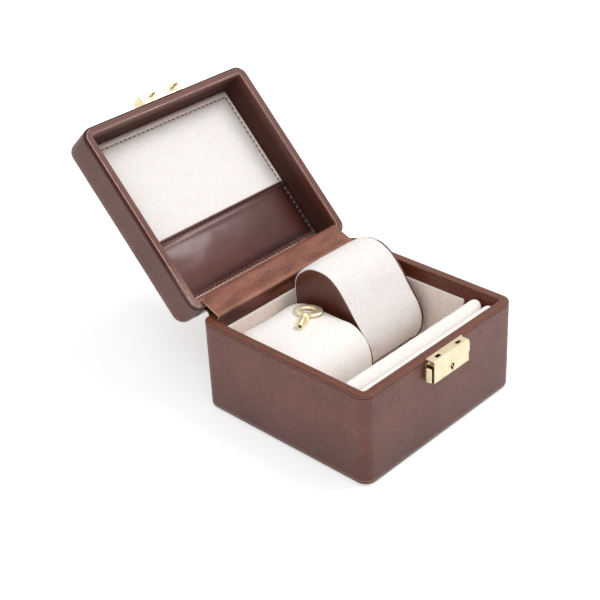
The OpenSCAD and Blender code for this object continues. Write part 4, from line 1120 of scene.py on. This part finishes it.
# The slide's thumb tab is a round-edged bar on a thinner arm
bar = extruded("bar", [(-16.6, -64.4), (-18.05, -64.4), (-17.1, -67.2), (-16.6, -67.3)], 45.7, 54.6, axis=2)
bar = eased(bar, 0.3, 3)
arm = eased(extruded("arm", rounded(-65.3, -63.1, 46.3, 54.0, 0.5), -17.6, -17.0), 0.12)
dress(joined("lock_tab", bar, arm), lock_brass, "lock_brass", "latch_slide", "lock_slide_tab")
tongue = eased(extruded("lock_tongue", rounded(-67.9, -63.1, 49.7, 57.3, 1.3), 14.8, 15.9), 0.35, 3)
dress(tongue, lock_brass, "lock_brass", "latch_slide", "lock_slide_tongue")


def rivet_heads(name, places, body, node_name, lid=False):
    """Domed rivet heads and their shanks."""
    profile = [(0.66, 4.0), (0.66, 0.35), (1.28, 0.33), (1.3, 0.16),
               (1.1, -0.12), (0.7, -0.3), (0.3, -0.37), (0.05, -0.38)]
    heads = joined(name, *[turned("rivet", profile, (x, -HALF_Y - 1.1, z), 1, 24) for x, z in places])
    dress(on_lid(heads) if lid else heads, rivet_brass, "rivet_brass", body, node_name)


rivet_heads("lock_rivet_heads", [(-RIVET_X, 47.0), (RIVET_X, 47.0)], "base", "lock_rivets")
colour_nodes(lock_brass, "lock_back_plate", "lock_slide_bar", "lock_slide_pawl_left",
             "lock_slide_pawl_right", "catch_back_plate")
colour_nodes(spring_steel, "lock_leaf_spring")

# ---------------------------------------------------------------- catch
# The lid's half of the lock is a shallow brass cap over a crosspiece with two notched hooks.
# It is riveted to the lid's front wall and is open towards the lock.
CATCH_X, CATCH_Z0, CATCH_Z1, CHEEK_T = 15.5, 59.2, 68.8, 0.8
HOOK_W, HOOK_T, HOOK_TIP, HOOK_ROOT, NOTCH_Z0, NOTCH_Z1, NOTCH = 2.8, 0.84, 53.9, 60.2, 55.3, 56.9, 1.2
outline = [(LOCK_Y1, CATCH_Z1)] + arc(LOCK_Y0 + BEND_R, CATCH_Z1 - BEND_R, BEND_R, 90, 180, 6)
outline += [(LOCK_Y0, CATCH_Z0), (LOCK_Y0 + SHEET, CATCH_Z0), (LOCK_Y0 + SHEET, CATCH_Z1 - SHEET - 0.2),
            (LOCK_Y0 + SHEET + 0.2, CATCH_Z1 - SHEET), (LOCK_Y1, CATCH_Z1 - SHEET)]
cap = extruded("cap", outline, -CATCH_X, CATCH_X)
cheek = [(LOCK_Y1, CATCH_Z0), (LOCK_Y1, CATCH_Z1 - 0.4), (LOCK_Y0 + 0.4, CATCH_Z1 - 0.4),
         (LOCK_Y0 + 0.4, CATCH_Z0)]
cheeks = [extruded("cheek", cheek, *sorted((side * (CATCH_X - 0.02), side * (CATCH_X - CHEEK_T))))
          for side in (-1, 1)]
mouth = rounded(LOCK_Y0 + SHEET + 0.05, LOCK_Y1, CATCH_Z0 + 0.05, CATCH_Z0 + 0.25, 0.05)
mouth = extruded("mouth", mouth, CHEEK_T + 0.05 - CATCH_X, CATCH_X - CHEEK_T - 0.05)
cap = joined("catch_cap", eased(cap, 0.14), *[eased(part, 0.14) for part in cheeks])
dress(on_lid(cap), lock_brass, "lock_brass", "lid", "catch_housing")
mouth.name = mouth.data.name = "catch_mouth_plate"
# The mouth plate's brass is rougher and paler than the lock's: painted light
matt_brass = metal("matt_brass", (255, 250, 230), (250, 240, 212), 0.55, 0.7)
dress(on_lid(mouth), matt_brass, "lock_brass", "lid")
hooks = []
for side in (-1, 1):
    x0, x1 = side * HOOK_X - HOOK_W / 2, side * HOOK_X + HOOK_W / 2
    hook = [(x0, HOOK_ROOT), (x0, NOTCH_Z1), (x0 + NOTCH, NOTCH_Z1), (x0 + NOTCH, NOTCH_Z0),
            (x0, NOTCH_Z0), (x0, HOOK_TIP + 0.6), (x0 + 0.5, HOOK_TIP), (x1 - 0.9, HOOK_TIP),
            (x1 - 0.25, HOOK_TIP + 0.25), (x1, HOOK_TIP + 0.9), (x1, HOOK_ROOT)]
    hooks.append(eased(extruded("hook", hook, HOOK_Y - HOOK_T / 2, HOOK_Y + HOOK_T / 2, axis=1), 0.12))
bridge = rounded(HOOK_Y - 1.2, LOCK_Y1, HOOK_ROOT - 0.7, HOOK_ROOT + 0.1, 0.2)
hooks.append(eased(extruded("bridge", bridge, -11.6, 11.6), 0.1))
# The hook plate takes the darker brass: painted shade
dress(on_lid(joined("catch_hook_plate", *hooks)), hook_brass, "lock_brass", "lid", "catch_hooks")
rivet_heads("catch_rivet_heads", [(-RIVET_X, 64.0), (RIVET_X, 64.0)], "lid", "catch_rivets", lid=True)

# ---------------------------------------------------------------- key
# A small barrel key lies on the left cushion: an oval bow, a collar, a hollow shank and a stepped bit.
# It is cast brass with eased edges, a little duller than the lock.
KEY_AT, KEY_TURN, KEY_TILT = (-11.7, 27.7, 52.5), 208.0, -1.8
BOW_L, BOW_W, HOLE_L, HOLE_W, BOW_T, SHANK_END, BIT_T, NECK_T = 12.6, 17.6, 6.0, 7.4, 1.7, 18.7, 1.2, 1.6


def key_bow():
    """The bow's band follows an oval; its section is a flat oval, thicker at the middle."""
    points, around, section = [], 72, 14
    for i in range(around):
        turn = 2 * math.pi * i / around
        inner = np.array([HOLE_L / 2 * math.cos(turn), HOLE_W / 2 * math.sin(turn)])
        outer = np.array([BOW_L / 2 * math.cos(turn), BOW_W / 2 * math.sin(turn)])
        middle, half = (inner + outer) / 2, (outer - inner) / 2
        for k in range(section):
            phase = 2 * math.pi * k / section
            across = math.copysign(abs(math.cos(phase)) ** 0.3, math.cos(phase))
            height = math.copysign(abs(math.sin(phase)) ** 0.45, math.sin(phase)) * BOW_T / 2
            points.append((*(middle + half * across), height))
    return piece("bow", points, grid_faces(around, section))


shank_rows = [(0.05, 3.6), (1.4, 3.7), (1.6, 4.4), (2.0, 6.0), (2.4, 6.4), (2.4, 7.2), (2.1, 7.5),
              (1.9, 7.8), (1.9, 8.3), (2.2, 8.5), (2.2, 9.0), (1.95, 9.3), (1.9, 12.0), (1.9, 18.25),
              (1.8, 18.6), (1.62, SHANK_END), (1.25, SHANK_END), (1.12, SHANK_END - 0.15),
              (1.05, SHANK_END - 5.0), (0.05, SHANK_END - 5.2)]
shank = turned("shank", shank_rows, (0, 0, 0), 0, 32)
bit = [(13.2, -1.2), (13.2, -3.2), (14.6, -3.2), (14.6, -2.6), (15.4, -2.6), (15.4, -3.2),
       (18.2, -3.2), (18.2, -1.2)]
bit = eased(extruded("bit", bit, -BIT_T / 2, BIT_T / 2, axis=2), 0.12)
neck = [(3.6, -3.3), (9.0, -2.8), (13.3, -2.7), (13.3, 2.5), (9.0, 2.8), (3.6, 3.3)]
neck = eased(extruded("neck", neck, -NECK_T / 2, NECK_T / 2, axis=2), 0.25)
key = joined("key_piece", key_bow(), shank, neck, bit)
key.matrix_world = (Matrix.Translation(Vector(KEY_AT) * MM)
                    @ Matrix.Rotation(math.radians(KEY_TURN), 4, "Z")
                    @ Matrix.Rotation(math.radians(KEY_TILT), 4, "Y"))
key_brass = metal("key_brass", (255, 248, 216), (252, 236, 194), 0.33, 0.47, 0.01)
dress(key, key_brass, "key_brass", "key", "key")

# ---------------------------------------------------------------- floor, light and camera
# A pale sweep fills the view. One soft lamp stands in front at the right and one at the left, both
# above the box, and even light comes from all round.
SWEEP, PAPER_GLOW, SKY_BELOW, SKY_ABOVE = 4000, 0.365, 0.55, 0.64
corners = [(-SWEEP, -SWEEP, 0), (SWEEP, -SWEEP, 0), (SWEEP, SWEEP, 0), (-SWEEP, SWEEP, 0)]
floor = piece("studio_floor", corners, [(0, 1, 2, 3)])
paper, tree, shader, place = finish("studio_paper", {"Roughness": 0.9, "Specular IOR Level": 0.1,
                                                     "Base Color": srgb(246, 246, 247)})


def seen_by_eye(tree):
    """1 for rays that show the background to the eye, in metal or in glass."""
    rays = node(tree, "ShaderNodeLightPath").outputs
    straight = calc(tree, "MAXIMUM", rays["Is Camera Ray"], rays["Is Glossy Ray"])
    return calc(tree, "MAXIMUM", straight, rays["Is Transmission Ray"])


shader.inputs["Emission Color"].default_value = (1, 1, 1, 1)
tree.links.new(times(tree, seen_by_eye(tree), PAPER_GLOW), shader.inputs["Emission Strength"])
floor.data.materials.append(paper)


def lamp(name, place, aim, size, power):
    """A square soft box, in metres and watts."""
    light = bpy.data.lights.new(name, "AREA")
    light.shape, light.size, light.energy = "SQUARE", size, power
    made = in_scene(name, light)
    made.location = place
    made.rotation_euler = (Vector(aim) - Vector(place)).to_track_quat("-Z", "Y").to_euler()


lamp("soft_box_above", (0.77, -0.38, 1.55), (0, 0.08, 0.08), 0.7, 12.5)
lamp("soft_box_left", (-1.0, -0.65, 1.45), (0, 0.05, 0.05), 1.1, 8.5)

world = bpy.data.worlds.new("studio")
bpy.context.scene.world = world
world.use_nodes = True
sky = world.node_tree
sky.nodes.clear()
looking = node(sky, "ShaderNodeTexCoord").outputs["Generated"]
upward = node(sky, "ShaderNodeSeparateXYZ", {0: looking}).outputs[2]
level = spread(sky, upward, -0.1, 0.8, SKY_BELOW, SKY_ABOVE)
even = node(sky, "ShaderNodeBackground", {
    "Color": (1, 1, 1, 1), "Strength": calc(sky, "MAXIMUM", level, seen_by_eye(sky))})
node(sky, "ShaderNodeOutputWorld", {"Surface": even.outputs[0]})

scene = bpy.context.scene
scene.view_settings.view_transform = "Standard"
camera = in_scene("camera", bpy.data.cameras.new("camera"))
CAMERA_AT = Vector((-490.21, -442.23, 460.53)) * MM
to_right = Vector((0.684855, -0.727220, -0.046097))
to_up = Vector((0.400754, 0.323063, 0.857337))
forward = Vector((0.608580, 0.605625, -0.512688))
turned_to = Matrix((to_right, to_up, -forward)).transposed().to_4x4()
camera.matrix_world = Matrix.Translation(CAMERA_AT) @ turned_to
camera.data.sensor_width, camera.data.lens = 36.0, 81.38
camera.data.clip_start, camera.data.clip_end = 0.01, 50.0
scene.camera = camera
